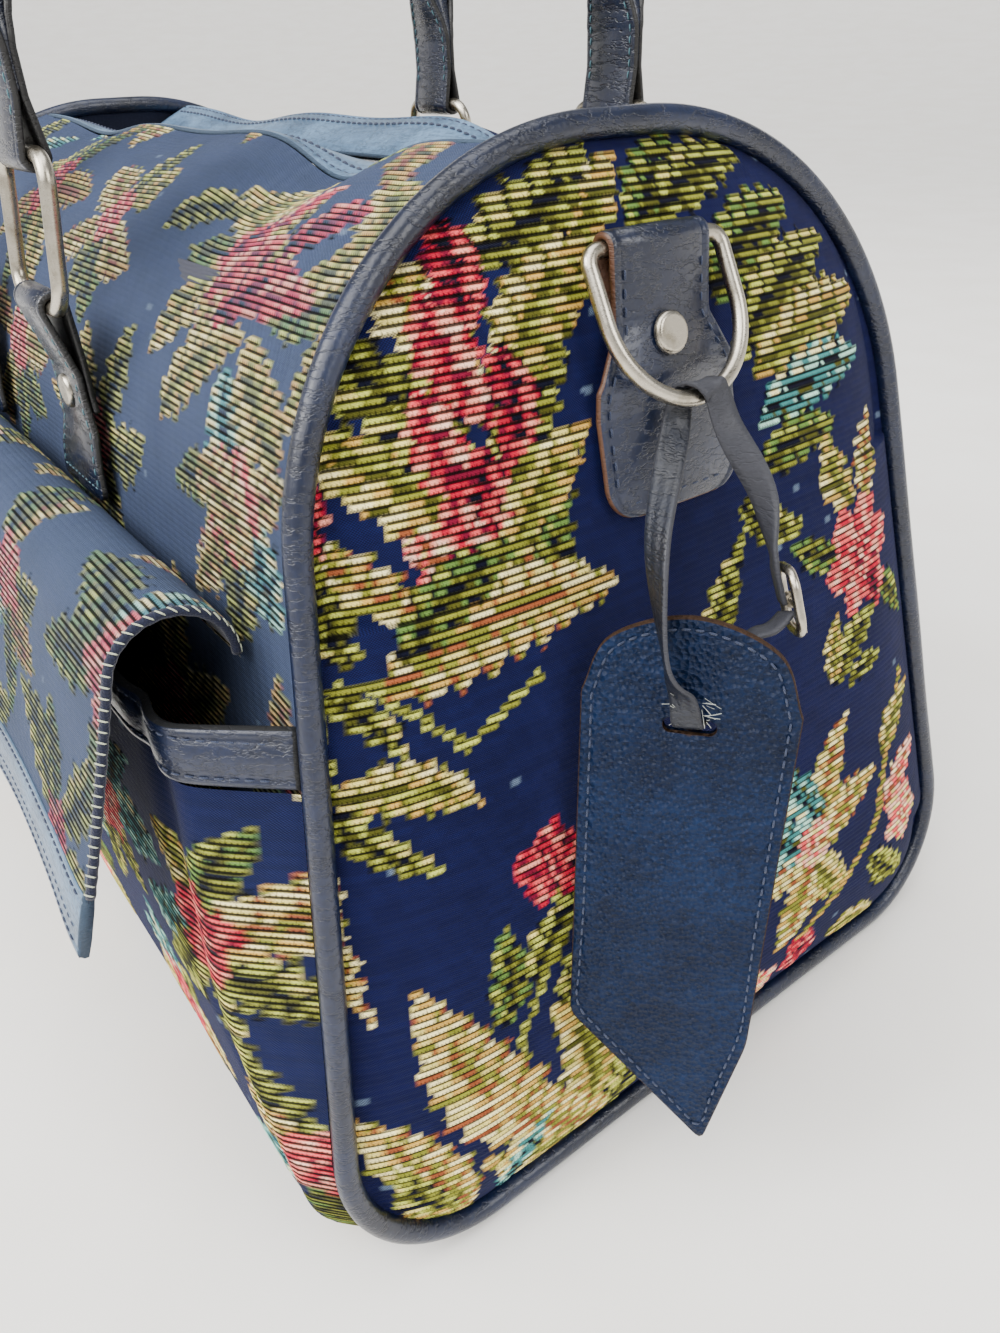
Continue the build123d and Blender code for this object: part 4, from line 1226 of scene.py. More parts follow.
# ---- Designs of the cloth ---------------------------------------------------------------
def end_design() -> list[Motif]:
    """Motifs of the right end panel.

    Returns:
        Motifs from the back to the front, in millimetres sideways and above the floor.
    """
    f, t = Frond, Tone
    return [
        f((-40, 262), (-6, 300), 11, t.SUNLIT, 3), f((-60, 280), (-14, 303), 10, t.FRESH, -3, 6),
        f((-8, 278), (16, 303), 10, t.DEEP, 2), f((2, 284), (42, 296), 9, t.FRESH, 4),
        f((14, 262), (58, 284), 12, t.DEEP, 4, 6), f((20, 246), (74, 272), 12, t.FRESH, 4, 7),
        f((28, 240), (90, 255), 12, t.SUNLIT, 3, 7), f((30, 226), (86, 236), 11, t.WATERY, 4, 6),
        f((28, 212), (68, 218), 9, t.DEEP, 3, 5), f((20, 205), (48, 190), 8, t.FRESH, -3, 4),
        f((-66, 212), (-114, 252), 12, t.SUNLIT, -5, 7), f((-70, 232), (-106, 276), 12, t.FRESH, -4, 7),
        f((-64, 252), (-88, 292), 11, t.STRAWY, -3, 6), f((-66, 205), (-34, 240), 12, t.SUNLIT, 4, 7),
        f((-62, 228), (-34, 268), 12, t.FRESH, 4, 7), f((-58, 250), (-24, 282), 11, t.SUNLIT, 4, 6),
        f((-88, 205), (-112, 232), 8, t.STRAWY, 3, 5), f((-62, 198), (-44, 222), 9, t.DEEP, -2, 5),
        f((-60, 292), (-66, 262), 8, t.RUBY, 2, 4), f((-70, 276), (-62, 244), 9, t.ROSE, -3, 4),
        f((-56, 262), (-60, 232), 8, t.RUBY, 3, 5), f((-78, 256), (-70, 224), 8, t.ROSE, -2, 4),
        f((-64, 240), (-82, 212), 10, t.RUBY, 3, 5), f((-74, 232), (-70, 206), 7, t.ROSE, -2, 4),
        f((-88, 226), (-80, 204), 6, t.BLUSH, 2, 3), f((-106, 245), (-112, 214), 5, t.RUBY, 1, 3),
        Stem(((-100, 190), (-112, 192), (-119, 178), (-123, 163), (-129, 138))),
        Stem(((-104, 190), (-84, 168), (-60, 180))),
        f((-102, 188), (-30, 197), 15, t.STRAWY, 7, 9), f((-96, 194), (-58, 216), 9, t.DEEP, 4, 6),
        f((-107, 196), (-110, 228), 7, t.FRESH, 2, 5), f((-114, 190), (-100, 170), 5, t.FRESH, 2, 4),
        f((-120, 163), (-82, 151), 9, t.SUNLIT, 5, 7), f((-120, 160), (-98, 136), 6, t.FRESH, -2, 5),
        f((-124, 160), (-124, 96), 5, t.STRAWY, -4, 6), f((-123, 162), (-133, 132), 5, t.FRESH, 1, 4),
        f((-127, 190), (-119, 164), 6, t.FRESH, 1, 4), f((-126, 176), (-131, 158), 5, t.DEEP, 1, 3),
        Stem(((-64, 118), (-70, 98), (-86, 70))),
        f((-78, 88), (-56, 112), 8, t.FRESH, 3, 5), f((-90, 80), (-84, 112), 8, t.DEEP, -2, 5),
        f((-70, 74), (-44, 98), 9, t.FRESH, 3, 5), f((-62, 60), (-38, 84), 8, t.DEEP, 2, 4),
        Bloom((-65, 124), 13, t.RUBY, 5, 0.4),
        f((-50, 8), (-24, 62), 13, t.FRESH, 4, 7), f((-74, 30), (-112, 104), 17, t.STRAWY, 8, 8),
        f((-62, 20), (-72, 78), 13, t.SUNLIT, -5, 8), f((-52, 12), (-98, 62), 15, t.STRAWY, 6, 8),
        f((-58, 8), (-104, 36), 10, t.SUNLIT, 4, 6), f((-96, 10), (-78, 38), 7, t.WATERY, 2, 4),
        f((-108, 12), (-142, 70), 12, t.STRAWY, -4, 7), f((-112, 14), (-128, 46), 9, t.FRESH, 3, 5),
        f((-106, 10), (-138, 24), 8, t.SUNLIT, 2, 5),
        f((0, 148), (20, 196), 9, t.FRESH, 3, 6), f((-22, 150), (-30, 178), 7, t.DEEP, 2, 4),
        f((-30, 60), (-6, 96), 10, t.DEEP, 3, 5), f((-12, 20), (4, 66), 10, t.FRESH, -3, 6),
        Stem(((108, 118), (94, 92), (88, 66), (66, 44), (40, 30)), 1.8, t.GILT),
        f((50, 74), (68, 118), 11, t.STRAWY, 3, 6), f((50, 76), (28, 112), 10, t.WATERY, -3, 6),
        f((48, 70), (86, 88), 10, t.STRAWY, 3, 6), f((46, 68), (70, 46), 11, t.SUNLIT, -3, 6),
        f((44, 66), (30, 34), 12, t.STRAWY, 3, 7), f((44, 70), (10, 66), 12, t.STRAWY, -3, 6),
        f((44, 74), (14, 96), 11, t.WATERY, 3, 6), Bloom((48, 74), 10, t.BLUSH, 6, 0.2),
        f((92, 90), (116, 112), 9, t.SUNLIT, 3, 5), f((92, 66), (122, 84), 9, t.BLUSH, 3, 5),
        f((84, 50), (112, 30), 9, t.FRESH, -3, 5), Bloom((106, 58), 13, t.BLUSH, 5, 0.8),
        Bloom((20, 17), 14, t.BLUSH, 5, 0.1), Bloom((46, 24), 10, t.RUBY, 5, 0.9),
        f((66, 20), (100, 12), 8, t.SUNLIT, 2, 4),
        f((62, 130), (90, 152), 8, t.FRESH, 3, 6), f((62, 132), (66, 156), 6, t.SUNLIT, 2, 4),
        f((70, 128), (92, 132), 5, t.FRESH, 2, 4), f((76, 190), (60, 216), 9, t.SUNLIT, 3, 5),
        f((84, 190), (92, 218), 9, t.STRAWY, 2, 5), f((66, 176), (42, 186), 7, t.DEEP, 2, 4),
        f((92, 160), (112, 140), 7, t.DEEP, 2, 4), Bloom((80, 172), 20, t.ROSE, 6, 0.3),
        f((84, 164), (92, 150), 6, t.RUBY, 1, 3),
    ]


def front_design() -> list[Motif]:
    """Motifs of the front panel: scattered sprays, with a red flower near its top right corner.

    Returns:
        Motifs from the back to the front, in millimetres along the bag and up the cloth.
    """
    f, t = Frond, Tone
    return meadow(23, (-235, 235), (0, 345)) + [
        f((120, 232), (158, 262), 12, t.SUNLIT, 4, 7), f((196, 236), (160, 262), 12, t.SUNLIT, 4, 7),
        f((150, 226), (186, 206), 13, t.STRAWY, 4, 8), f((196, 300), (168, 276), 10, t.SUNLIT, 3, 6),
        f((100, 300), (132, 322), 11, t.SUNLIT, 4, 6), f((70, 286), (104, 304), 10, t.FRESH, 4, 6),
        f((124, 268), (150, 292), 9, t.ROSE, 3, 4), f((136, 262), (166, 282), 10, t.RUBY, 3, 5),
        f((152, 286), (176, 304), 9, t.RUBY, 3, 4), f((116, 282), (140, 302), 8, t.RUBY, 3, 4),
        f((150, 268), (182, 274), 8, t.ROSE, 3, 4), f((130, 292), (152, 312), 8, t.ROSE, 3, 4),
    ]


# ---- Sub-assemblies ---------------------------------------------------------------------
@dataclass
class BodyShell:
    """Tapestry body: end panels, front, back and base, with lining and board inside."""

    bench: Bench
    tuck: float = 2.6
    skin: float = 0.55
    end_inset: float = 2.6

    def end_surface(self, share: Array, b: Array) -> tuple[Array, Array]:
        """Points of the right end panel.

        Args:
            share: Places across the panel from -1 to 1.
            b: Heights above the floor.

        Returns:
            The points, and their places along the wefts.
        """
        form = self.bench.form
        v = (b - form.mid_z) / math.cos(form.lean)
        u = share * form.half_width(v, self.end_inset)
        rise = form.dome(u, v) - 0.6 - 0.5 * (1 + ripple(u, b, 5, 70)) * np.clip(form.inset_of(u, v) / 30, 0, 1)
        return form.end_point(u, v, rise - 0.4), u

    def make_ends(self) -> None:
        """Weaves both domed end panels."""
        form = self.bench.form
        reach = (form.bottom_z + self.end_inset, form.top_z - self.end_inset)
        right = self.bench.weave("end_cloth_right", Tapestry(end_design(), seed=3), self.end_surface, reach, 176,
                                 "bag", ["end_panel_right"], fine=True)
        left_cloth = Tapestry(meadow(41, (-150, 150), (0, 330)), seed=9)

        def left_surface(share: Array, b: Array) -> tuple[Array, Array]:
            """The right panel's surface at the other end."""
            points, a = self.end_surface(share, b)
            return points * TO_LEFT, a

        left = self.bench.weave("end_cloth_left", left_cloth, left_surface, reach, 120, "bag", ["end_panel_left"],
                                flip=True)

    def wrap_surface(self, flank: Flank, seed: int) -> tuple[Surface, float]:
        """Surface of the front or back panel.

        Args:
            flank: Which panel.
            seed: Seed of its slack waves.

        Returns:
            The surface function and the panel's height along the cloth.
        """
        form = self.bench.form
        line = form.section(self.skin)
        line = spaced(line[line[:, 1] > 14.0][::-1], 400)
        run = run_of(line)
        normal = np.gradient(line, axis=0)
        normal = unit(np.stack([-normal[:, 1], normal[:, 0]], axis=1))

        def surface(share: Array, b: Array) -> tuple[Array, Array]:
            """Points of the panel.

            Args:
                share: Places across the panel from -1 to 1.
                b: Places up the cloth from the base seam.

            Returns:
                The points, and their places along the wefts.
            """
            y, z = np.interp(b, run, line[:, 0]), np.interp(b, run, line[:, 1])
            ny, nz = np.interp(b, run, normal[:, 0]), np.interp(b, run, normal[:, 1])
            x = share * (form.end_x(z) - self.tuck)
            free = np.clip((1 - np.abs(share)) * 14, 0, 1)
            slack = -0.9 * (1 + ripple(x, b, seed, 120)) * free
            sink = form.dip(x) * np.clip((z - 246) / 58, 0, 1) ** 2 * free
            return np.stack([x, (y + ny * slack) * -flank.value, z + nz * slack - sink], axis=-1), x

        return surface, float(run[-1])

    def make_wrap(self) -> None:
        """Weaves the front, back and base panels."""
        back_design = Tapestry(meadow(67, (-235, 235), (0, 345)), seed=6)
        # The front cloth is washed towards slate as a painted sheen.
        for flank, name, node, facing, design, columns in (
                (Flank.FRONT, "front_cloth", "front_panel", "zip_facing_front",
                 Tapestry(front_design(), fade=0.4, seed=5), 210),
                (Flank.REAR, "back_cloth", "back_panel", "zip_facing_rear", back_design, 136)):
            surface, height = self.wrap_surface(flank, 11 + flank.value)
            panel = self.bench.weave(name, design, lambda f, b, s=surface: s(f, b), (0.0, height), columns, "bag",
                                     [node], flip=flank is Flank.REAR)
        self.make_base()

    def make_base(self) -> None:
        """Weaves the base panel, which the bag stands on."""
        form = self.bench.form
        line = form.section(0.2)
        line = line[line[:, 1] < 15.5]
        line[:, 1] = np.where(line[:, 0] > -form.base_half_flat - 6, np.minimum(line[:, 1], 1.1), line[:, 1])
        line = spaced(np.vstack([line, line[::-1] * np.array([-1.0, 1.0])]), 300)
        run = run_of(line)

        def surface(share: Array, b: Array) -> tuple[Array, Array]:
            """Points of the base.

            Args:
                share: Places across the panel from -1 to 1.
                b: Places from the front seam to the back seam.

            Returns:
                The points, and their places along the wefts.
            """
            y, z = np.interp(b, run, line[:, 0]), np.interp(b, run, line[:, 1])
            x = share * (form.end_x(z) - 2.0)
            return np.stack([x, y, z], axis=-1), x

        cloth = Tapestry(meadow(83, (-260, 260), (0, 300)), pitch=3.0, seed=8)
        panel = self.bench.weave("base_cloth", cloth, surface, (0.0, float(run[-1])), 96, "bag", ["base_panel"],
                                 relief=0.3, flip=True)

    def make_inside(self) -> None:
        """Makes the cotton lining and dresses the board."""
        form = self.bench.form
        mould = Mould()
        line = form.section(3.3, 60)
        line = line[line[:, 1] < form.chain_z - 12.4]
        ring = np.vstack([line, line[::-1][1:] * np.array([-1.0, 1.0])])
        share = np.linspace(-1, 1, 60)
        x = share[None, :] * (form.end_x(ring[:, 1:2]) - 6.0)
        pucker = 0.25 * np.sin(x / 5.0) * np.cos(ring[:, 1:2] / 9.0)
        mould.grid(np.stack([x, np.broadcast_to(ring[:, :1], x.shape) * (1 - pucker / 120),
                             np.broadcast_to(ring[:, 1:2], x.shape) + 0.0 * x], axis=-1))
        for hand in Hand:
            height = np.linspace(form.bottom_z + 3.6, form.chain_z - 12.4, 50)[:, None]
            across = np.linspace(-1, 1, 40)[None, :] * form.wall_y(height, 3.3)
            x_end = hand.value * (form.end_x(height) - 6.0) + 0.0 * across
            mould.grid(np.stack([x_end, across, height + 0.0 * across], axis=-1))
        v = np.linspace(135.0, (form.top_z - form.mid_z) / math.cos(form.lean) - 3.4, 24)[:, None]
        u = np.linspace(-1, 1, 40)[None, :] * form.half_width(v, 3.4)
        backing = form.end_point(u, v, np.full_like(u, -0.9))
        for hand in Hand:
            mould.grid(backing * (hand.value, 1.0, 1.0))
        piece = self.bench.build("inner_lining", mould, "lining_cotton", "bag", ["lining"], "lining_cloth")
        self.bench.dress("board_cover", "base_board")

    def make(self) -> None:
        """Makes the whole shell."""
        self.make_ends()
        self.make_wrap()
        self.make_inside()


@dataclass
class Pipings:
    """Leather piping round both end panels."""

    bench: Bench
    radius: float = 3.8
    inset: float = 2.2

    def make(self) -> None:
        """Sweeps both pipings."""
        form = self.bench.form
        half = form.outline(self.inset)
        loop = np.vstack([half, half[::-1][1:-1] * np.array([-1.0, 1.0])])
        loop = spaced(np.vstack([loop, loop[:1]]), 321)[:-1]
        path = form.end_point(loop[:, 0], loop[:, 1], np.zeros(len(loop)))
        swell = 0.14 * ripple(np.arange(len(loop)) * 3.3, np.zeros(len(loop)), 31, 60) - 0.12
        mould = Mould()
        mould.tube(path, self.radius + swell, 16, closed=True)
        for hand in Hand:
            self.bench.build(f"piping_{hand.word}", mould.mirrored((hand.value, 1, 1)), "navy_calf", "bag",
                             [f"end_piping_{hand.word}"], "navy_leather")


@dataclass
class ZipTop:
    """Leather facings, zip tapes and teeth in the valley of the bag's top."""

    bench: Bench
    reach: float = 189.5
    wall: float = 1.8
    inner_y: float = 11.4
    inner_z: float = 291.9
    tooth_pitch: float = 2.5
    chain_half: float = 173.0

    def facing_lines(self) -> tuple[Array, Array]:
        """Outer and inner edges of the front facing.

        Returns:
            Both edges (n, 3), from left to right.
        """
        form = self.bench.form
        x = np.linspace(-self.reach, self.reach, 150)
        crest_v = form.top_z - form.crown_radius + math.sqrt(form.crown_radius**2 - 26.0**2)
        near_end = np.clip((self.reach - np.abs(x)) / 14, 0, 1)
        sink = form.dip(x) * near_end
        outer = np.stack([x, np.full_like(x, -form.crest_y - 1.6), crest_v - 1.3 - 0.98 * sink], axis=1)
        bulge = 0.5 * ripple(x, 0 * x, 17, 50)
        inner = np.stack([x, -self.inner_y + bulge, np.full_like(x, self.inner_z)], axis=1)
        return outer, inner

    def make_facings(self) -> None:
        """Makes both facings with their two rows of stitches."""
        outer, inner = self.facing_lines()
        across = unit(inner - outer)
        half = np.linalg.norm(inner - outer, axis=1) / 2
        middle = (outer + inner) / 2
        leather, thread = Mould(), Mould()
        leather.strap(middle, across, half, self.wall, crown=0.9)
        face = facing(middle, across)
        for from_edge in (3.0, 8.0):
            lift = 0.5 * self.wall + (0.85 if from_edge > 4 else -0.05)
            line = outer + across * from_edge + face * lift
            thread.stitches(line[2:-2], face[2:-2], 4.4, 3.2, 0.5)
        # The facings wear the lighter copy of the navy leather, a painted sheen.
        for flank in Flank:
            self.bench.sew((f"facing_{flank.word}", f"facing_thread_{flank.word}"), (leather, thread),
                           ("slate_calf", "navy_thread"), "bag", f"zip_facing_{flank.word}", "navy_leather",
                           (1, -flank.value, 1))

    def make_chain(self) -> None:
        """Makes the tapes and the zip's teeth."""
        z = self.bench.form.chain_z
        x = np.linspace(-self.reach, self.reach, 90)
        tape, cord = Mould(), Mould()
        wave = 0.12 * ripple(x, 0 * x, 19, 30)
        tape.strap(np.stack([x, np.full_like(x, -10.9), z + wave], axis=1), (0, 1, 0), 7.2, 0.8, 0.05, 0.05)
        cord.tube(np.stack([x[4:-4], np.full(82, -4.0), np.full(82, z + 0.55)], axis=1), 0.55, 8)
        teeth = Mould()
        for k in range(int(2 * self.chain_half / self.tooth_pitch)):
            self.add_tooth(teeth, (k + 0.5) * self.tooth_pitch - self.chain_half, z)
        for flank in Flank:
            tag, signs = flank.word, (1, -flank.value, 1)
            shifted = teeth.mirrored(signs)
            if flank is Flank.REAR:
                shifted.points = [p + (0.5 * self.tooth_pitch, 0.0, 0.0) for p in shifted.points]
            self.bench.build(f"zip_tape_{tag}_cloth", tape.mirrored(signs), "zip_twill", "bag", [f"zip_tape_{tag}"],
                             "zip_tape")
            self.bench.build(f"zip_cord_{tag}", cord.mirrored(signs), "zip_twill", "bag", [], "zip_tape")
            self.bench.build(f"zip_teeth_{tag}_metal", shifted, "zip_nickel", "bag", [f"zip_teeth_{tag}"],
                             "zip_metal")

    def add_tooth(self, mould: Mould, x: float, z: float) -> None:
        """Adds one waisted tooth with rounded top and bottom.

        Args:
            mould: Mesh of the teeth.
            x: Place of the tooth along the zip.
            z: Height of its middle.
        """
        half = np.array([[0.75, -3.4], [0.75, -2.2], [0.42, -1.7], [0.5, -0.8], [0.2, -0.78]])
        plan = np.vstack([half[:1] * (-1, 1), half, half[:0:-1] * (-1, 1)])
        levels = [(-1.15, 0.7), (-0.85, 1.0), (0.85, 1.0), (1.15, 0.7)]
        rings = [np.stack([x + plan[:, 0] * s, -2.1 + (plan[:, 1] + 2.1) * s, np.full(len(plan), z + h)], axis=1)
                 for h, s in levels]
        mould.grid(np.stack(rings), wrap_columns=True, capped=True)

    def make(self) -> None:
        """Makes the zip and its facings."""
        self.make_facings()
        self.make_chain()
        self.bench.dress("zip_nickel", "zip_slider", "zip_pull")


@dataclass
class FrontPocket:
    """Bellows pocket of tapestry, bound in leather at its mouth."""

    bench: Bench
    slope: float = math.tan(math.radians(40.0))
    binding_z: float = 167.0
    mouth_z: float = 184.0

    def profile(self) -> Array:
        """Section of the pocket's front.

        Returns:
            Points (y outward, z) from under the bag to the binding.
        """
        corners = [(113.0, 2.6), (124.0, 3.2), (136.0, 8.0), (149.0, 21.0), (153.6, 50.0), (156.4, 95.0),
                   (154.2, 125.0), (150.6, 158.0), (150.0, 168.5)]
        return eased(corners, 10)

    def plan(self, share: Array, y_front: Array, z: Array) -> tuple[Array, Array]:
        """Plan of the pocket at a height.

        Args:
            share: Places along the pocket from -1 to 1.
            y_front: How far its front stands from the bag's middle there.
            z: Heights above the floor.

        Returns:
            X and Y of the points.
        """
        form = self.bench.form
        wall = form.wall_y(z) + 0.4
        x = share * (form.end_x(z) - 3.2)
        gusset = np.maximum(y_front - wall, 0.1)
        t = (form.end_x(z) - 3.2 - np.abs(x)) / (gusset * self.slope + 2.0)
        fold = 0.5 * (1 + t - np.sqrt((1 - t) ** 2 + 0.035))
        hollow = 2.0 * np.exp(-(((t - 1.75) / 0.3) ** 2)) * np.clip((z - 20) / 40, 0, 1)
        return x, -(wall + gusset * np.clip(fold, 0, 1) - hollow)

    def surface(self, share: Array, b: Array) -> tuple[Array, Array]:
        """Points of the pocket's cloth.

        Args:
            share: Places across the panel from -1 to 1.
            b: Places up the cloth from under the bag.

        Returns:
            The points, and their places along the wefts.
        """
        line = self.profile()
        run = run_of(line)
        y, z = np.interp(b, run, line[:, 0]), np.interp(b, run, line[:, 1])
        x, plan_y = self.plan(share, y, z)
        free = np.clip((1 - np.abs(share)) * 8, 0, 1) * np.clip((z - 8) / 30, 0, 1)
        slack = 1.1 * (1 + ripple(x, b, 13, 110)) * free
        return np.stack([x, plan_y + slack, z], axis=-1), x

    def make(self) -> None:
        """Makes the pocket's cloth and its binding."""
        line = self.profile()
        height = float(run_of(line)[-1])
        # The pocket cloth is washed slightly towards slate as a painted sheen.
        design = Tapestry(meadow(29, (-245, 245), (0, 220)), fade=0.05, seed=12)
        cloth = self.bench.weave("pocket_cloth", design, self.surface, (0.0, height), 220, "bag", ["pocket_panel"],
                                 relief=0.36)
        share = np.linspace(-1, 1, 260)
        leather, thread = Mould(), Mould()
        rails = []
        for z in (self.binding_z, self.mouth_z):
            x, y = self.plan(share, np.full_like(share, 150.4 - 0.06 * (z - self.binding_z)), np.full_like(share, z))
            sag = 0.9 * (1 + ripple(x, 0 * x, 37, 90)) * np.clip((1 - np.abs(share)) * 9, 0, 1)
            drop = 1.4 * sag if z == self.mouth_z else 0.0
            rails.append(np.stack([x, y + 0.6 + 0.6 * sag, np.full_like(x, z) - drop], axis=1))
        low, high = rails
        up = unit(high - low)
        middle = (low + high) / 2
        half = np.linalg.norm(high - low, axis=1) / 2 - 0.3
        leather.strap(middle, up, half, 2.8, crown=0.5)
        face = facing(middle, up)
        for from_edge in (3.0, 13.0):
            line = low + up * from_edge + face * 1.45
            thread.stitches(line[3:-3], face[3:-3], 4.0, 2.8, 0.34)
        self.bench.sew(("pocket_rim", "pocket_rim_thread"), (leather, thread), ("navy_calf", "navy_thread"), "bag",
                       "pocket_binding", "navy_leather")


@dataclass
class Flap:
    """Tapestry flap over the pocket, with a leather hem and an overcast edge."""

    bench: Bench
    half: float = 185.0
    wall: float = 1.8
    crest_radius: float = 17.0
    root_z: float = 194.0
    hem: tuple[float, float] = (-173.0, 137.0)
    trim: float = 20.0

    def lines(self) -> tuple[Array, Array]:
        """Section of the flap through the middle of its cloth.

        Returns:
            Points (y, z) from the hem to the root, and its outward directions.
        """
        form = self.bench.form
        root_y = -float(form.wall_y(self.root_z)) - 0.3 - self.wall / 2 - 1.6
        centre = np.array([root_y - self.crest_radius, self.root_z])
        hem = np.array(self.hem)
        hang = hem - centre
        leave = math.atan2(hang[1], hang[0]) % (2 * math.pi) - math.acos(self.crest_radius / np.linalg.norm(hang))
        angles = np.linspace(leave, 0, 40)
        arc = centre + self.crest_radius * np.stack([np.cos(angles), np.sin(angles)], axis=1)
        foot = np.array([-float(form.wall_y(187.0)) - 0.3 - self.wall / 2, 187.0])
        line = spaced(np.vstack([hem, arc, foot]), 200)
        step = np.gradient(line, axis=0)
        return line, unit(np.stack([-step[:, 1], step[:, 0]], axis=1))

    def wave(self, x: Array, low: Array) -> Array:
        """How far the hanging part waves outward; low is 1 at the hem and 0 at the crest."""
        return low**1.5 * (1.6 * ripple(x, 0 * x, 43, 150) + 1.8 * np.exp(-(((x - self.half) / 26) ** 2)))

    def surface(self, offset: float) -> tuple[Surface, float]:
        """Surface of the flap at an offset outward from its middle.

        Args:
            offset: Distance from the middle of the cloth.

        Returns:
            The surface function and the flap's height along the cloth.
        """
        line, out = self.lines()
        rail = line + out * offset
        run = run_of(line)

        def points_at(share: Array, b: Array) -> tuple[Array, Array]:
            """Points of the flap.

            Args:
                share: Places across the panel from -1 to 1.
                b: Places up the cloth from the hem.

            Returns:
                The points, and their places along the wefts.
            """
            x = share * self.half
            low = np.clip(1 - b / 64, 0, 1)
            move = self.wave(x, low)
            y = np.interp(b, run, rail[:, 0]) + np.interp(b, run, out[:, 0]) * move
            z = np.interp(b, run, rail[:, 1]) + np.interp(b, run, out[:, 1]) * move
            crest = np.exp(-(((b - 80) / 24) ** 2))
            z = z - 0.9 * (1 + ripple(x, 0 * x, 47, 120)) * crest
            return np.stack([x, y, z], axis=-1), x

        return points_at, float(run[-1])

    def make(self) -> None:
        """Makes the flap's cloth, lining, edges and hem."""
        outer, height = self.surface(0.75)
        # The flap cloth is washed strongly towards slate as a painted sheen.
        design = Tapestry(meadow(59, (-200, 200), (0, 140)), fade=0.48, seed=14)
        cloth = self.bench.weave("flap_cloth", design, outer, (0.0, height), 200, "bag", ["pocket_flap"], relief=0.36)
        inner, _ = self.surface(-1.35)
        share, b = np.meshgrid(np.linspace(-0.996, 0.996, 150), np.linspace(0.3, height - 9, 40))
        under = Mould()
        under.grid(inner(share, b)[0][:, ::-1])
        lining = self.bench.build("flap_under", under, "lining_cotton", "bag", ["flap_lining"], "lining_cloth")
        self.make_edges(height)
        self.make_hem()

    def make_edges(self, height: float) -> None:
        """Makes the rolled side edges with their overcast thread.

        Args:
            height: The flap's height along the cloth.
        """
        middle, _ = self.surface(-0.3)
        roll, thread = Mould(), Mould()
        b = np.linspace(0.0, height - 6, 90)
        for hand in Hand:
            path = middle(np.full_like(b, float(hand.value)), b)[0]
            roll.tube(path, 1.35 + 0.1 * np.sin(b * 1.3), 10)
            step = unit(np.gradient(path, axis=0))
            side = np.array([float(hand.value), 0, 0])
            out = unit(np.cross(step, side) * float(-hand.value))
            face = unit(out + side)
            thread.stitches(path + face * 1.25, face, 3.0, 2.9, 0.26, across=unit(np.cross(step[40], face[40])))
        self.bench.build("flap_edges", roll, "lining_cotton", "bag", [], "lining_cloth")
        self.bench.build("flap_edge_thread", thread, "pale_thread", "bag")

    def make_hem(self) -> None:
        """Makes the leather hem with two rows of stitches."""
        line, out = self.lines()
        fall = unit(line[0] - line[6])
        x = np.linspace(-self.half, self.half, 170)
        wave = self.wave(x, np.ones_like(x))
        top = np.array(self.hem) - out[0] * 0.3 - fall * 1.2
        rails = []
        for drop in (0.0, self.trim + 0.9):
            spot = top + fall * drop
            curl = 1.0 + 0.02 * drop
            rails.append(np.stack([x, spot[0] + out[0][0] * wave * curl, spot[1] + out[0][1] * wave * curl], axis=1))
        high, low = rails
        middle, down = (high + low) / 2, unit(low - high)
        half = np.linalg.norm(high - low, axis=1) / 2
        leather, thread = Mould(), Mould()
        leather.strap(middle, -down, half, 3.2, crown=0.4)
        face = facing(middle, -down)
        for from_edge in (3.0, 7.5):
            for rail, way in ((high, 1.0), (low, -1.0)):
                row = rail + down * (way * from_edge) + face * 1.75
                if from_edge < 4 or way < 0:
                    thread.stitches(row[2:-2], face[2:-2], 4.0, 2.9, 0.36)
        # The hem wears the lighter copy of the navy leather, a painted sheen.
        self.bench.sew(("flap_hem", "flap_hem_thread"), (leather, thread), ("slate_calf", "navy_thread"), "bag",
                       "flap_trim", "navy_leather")


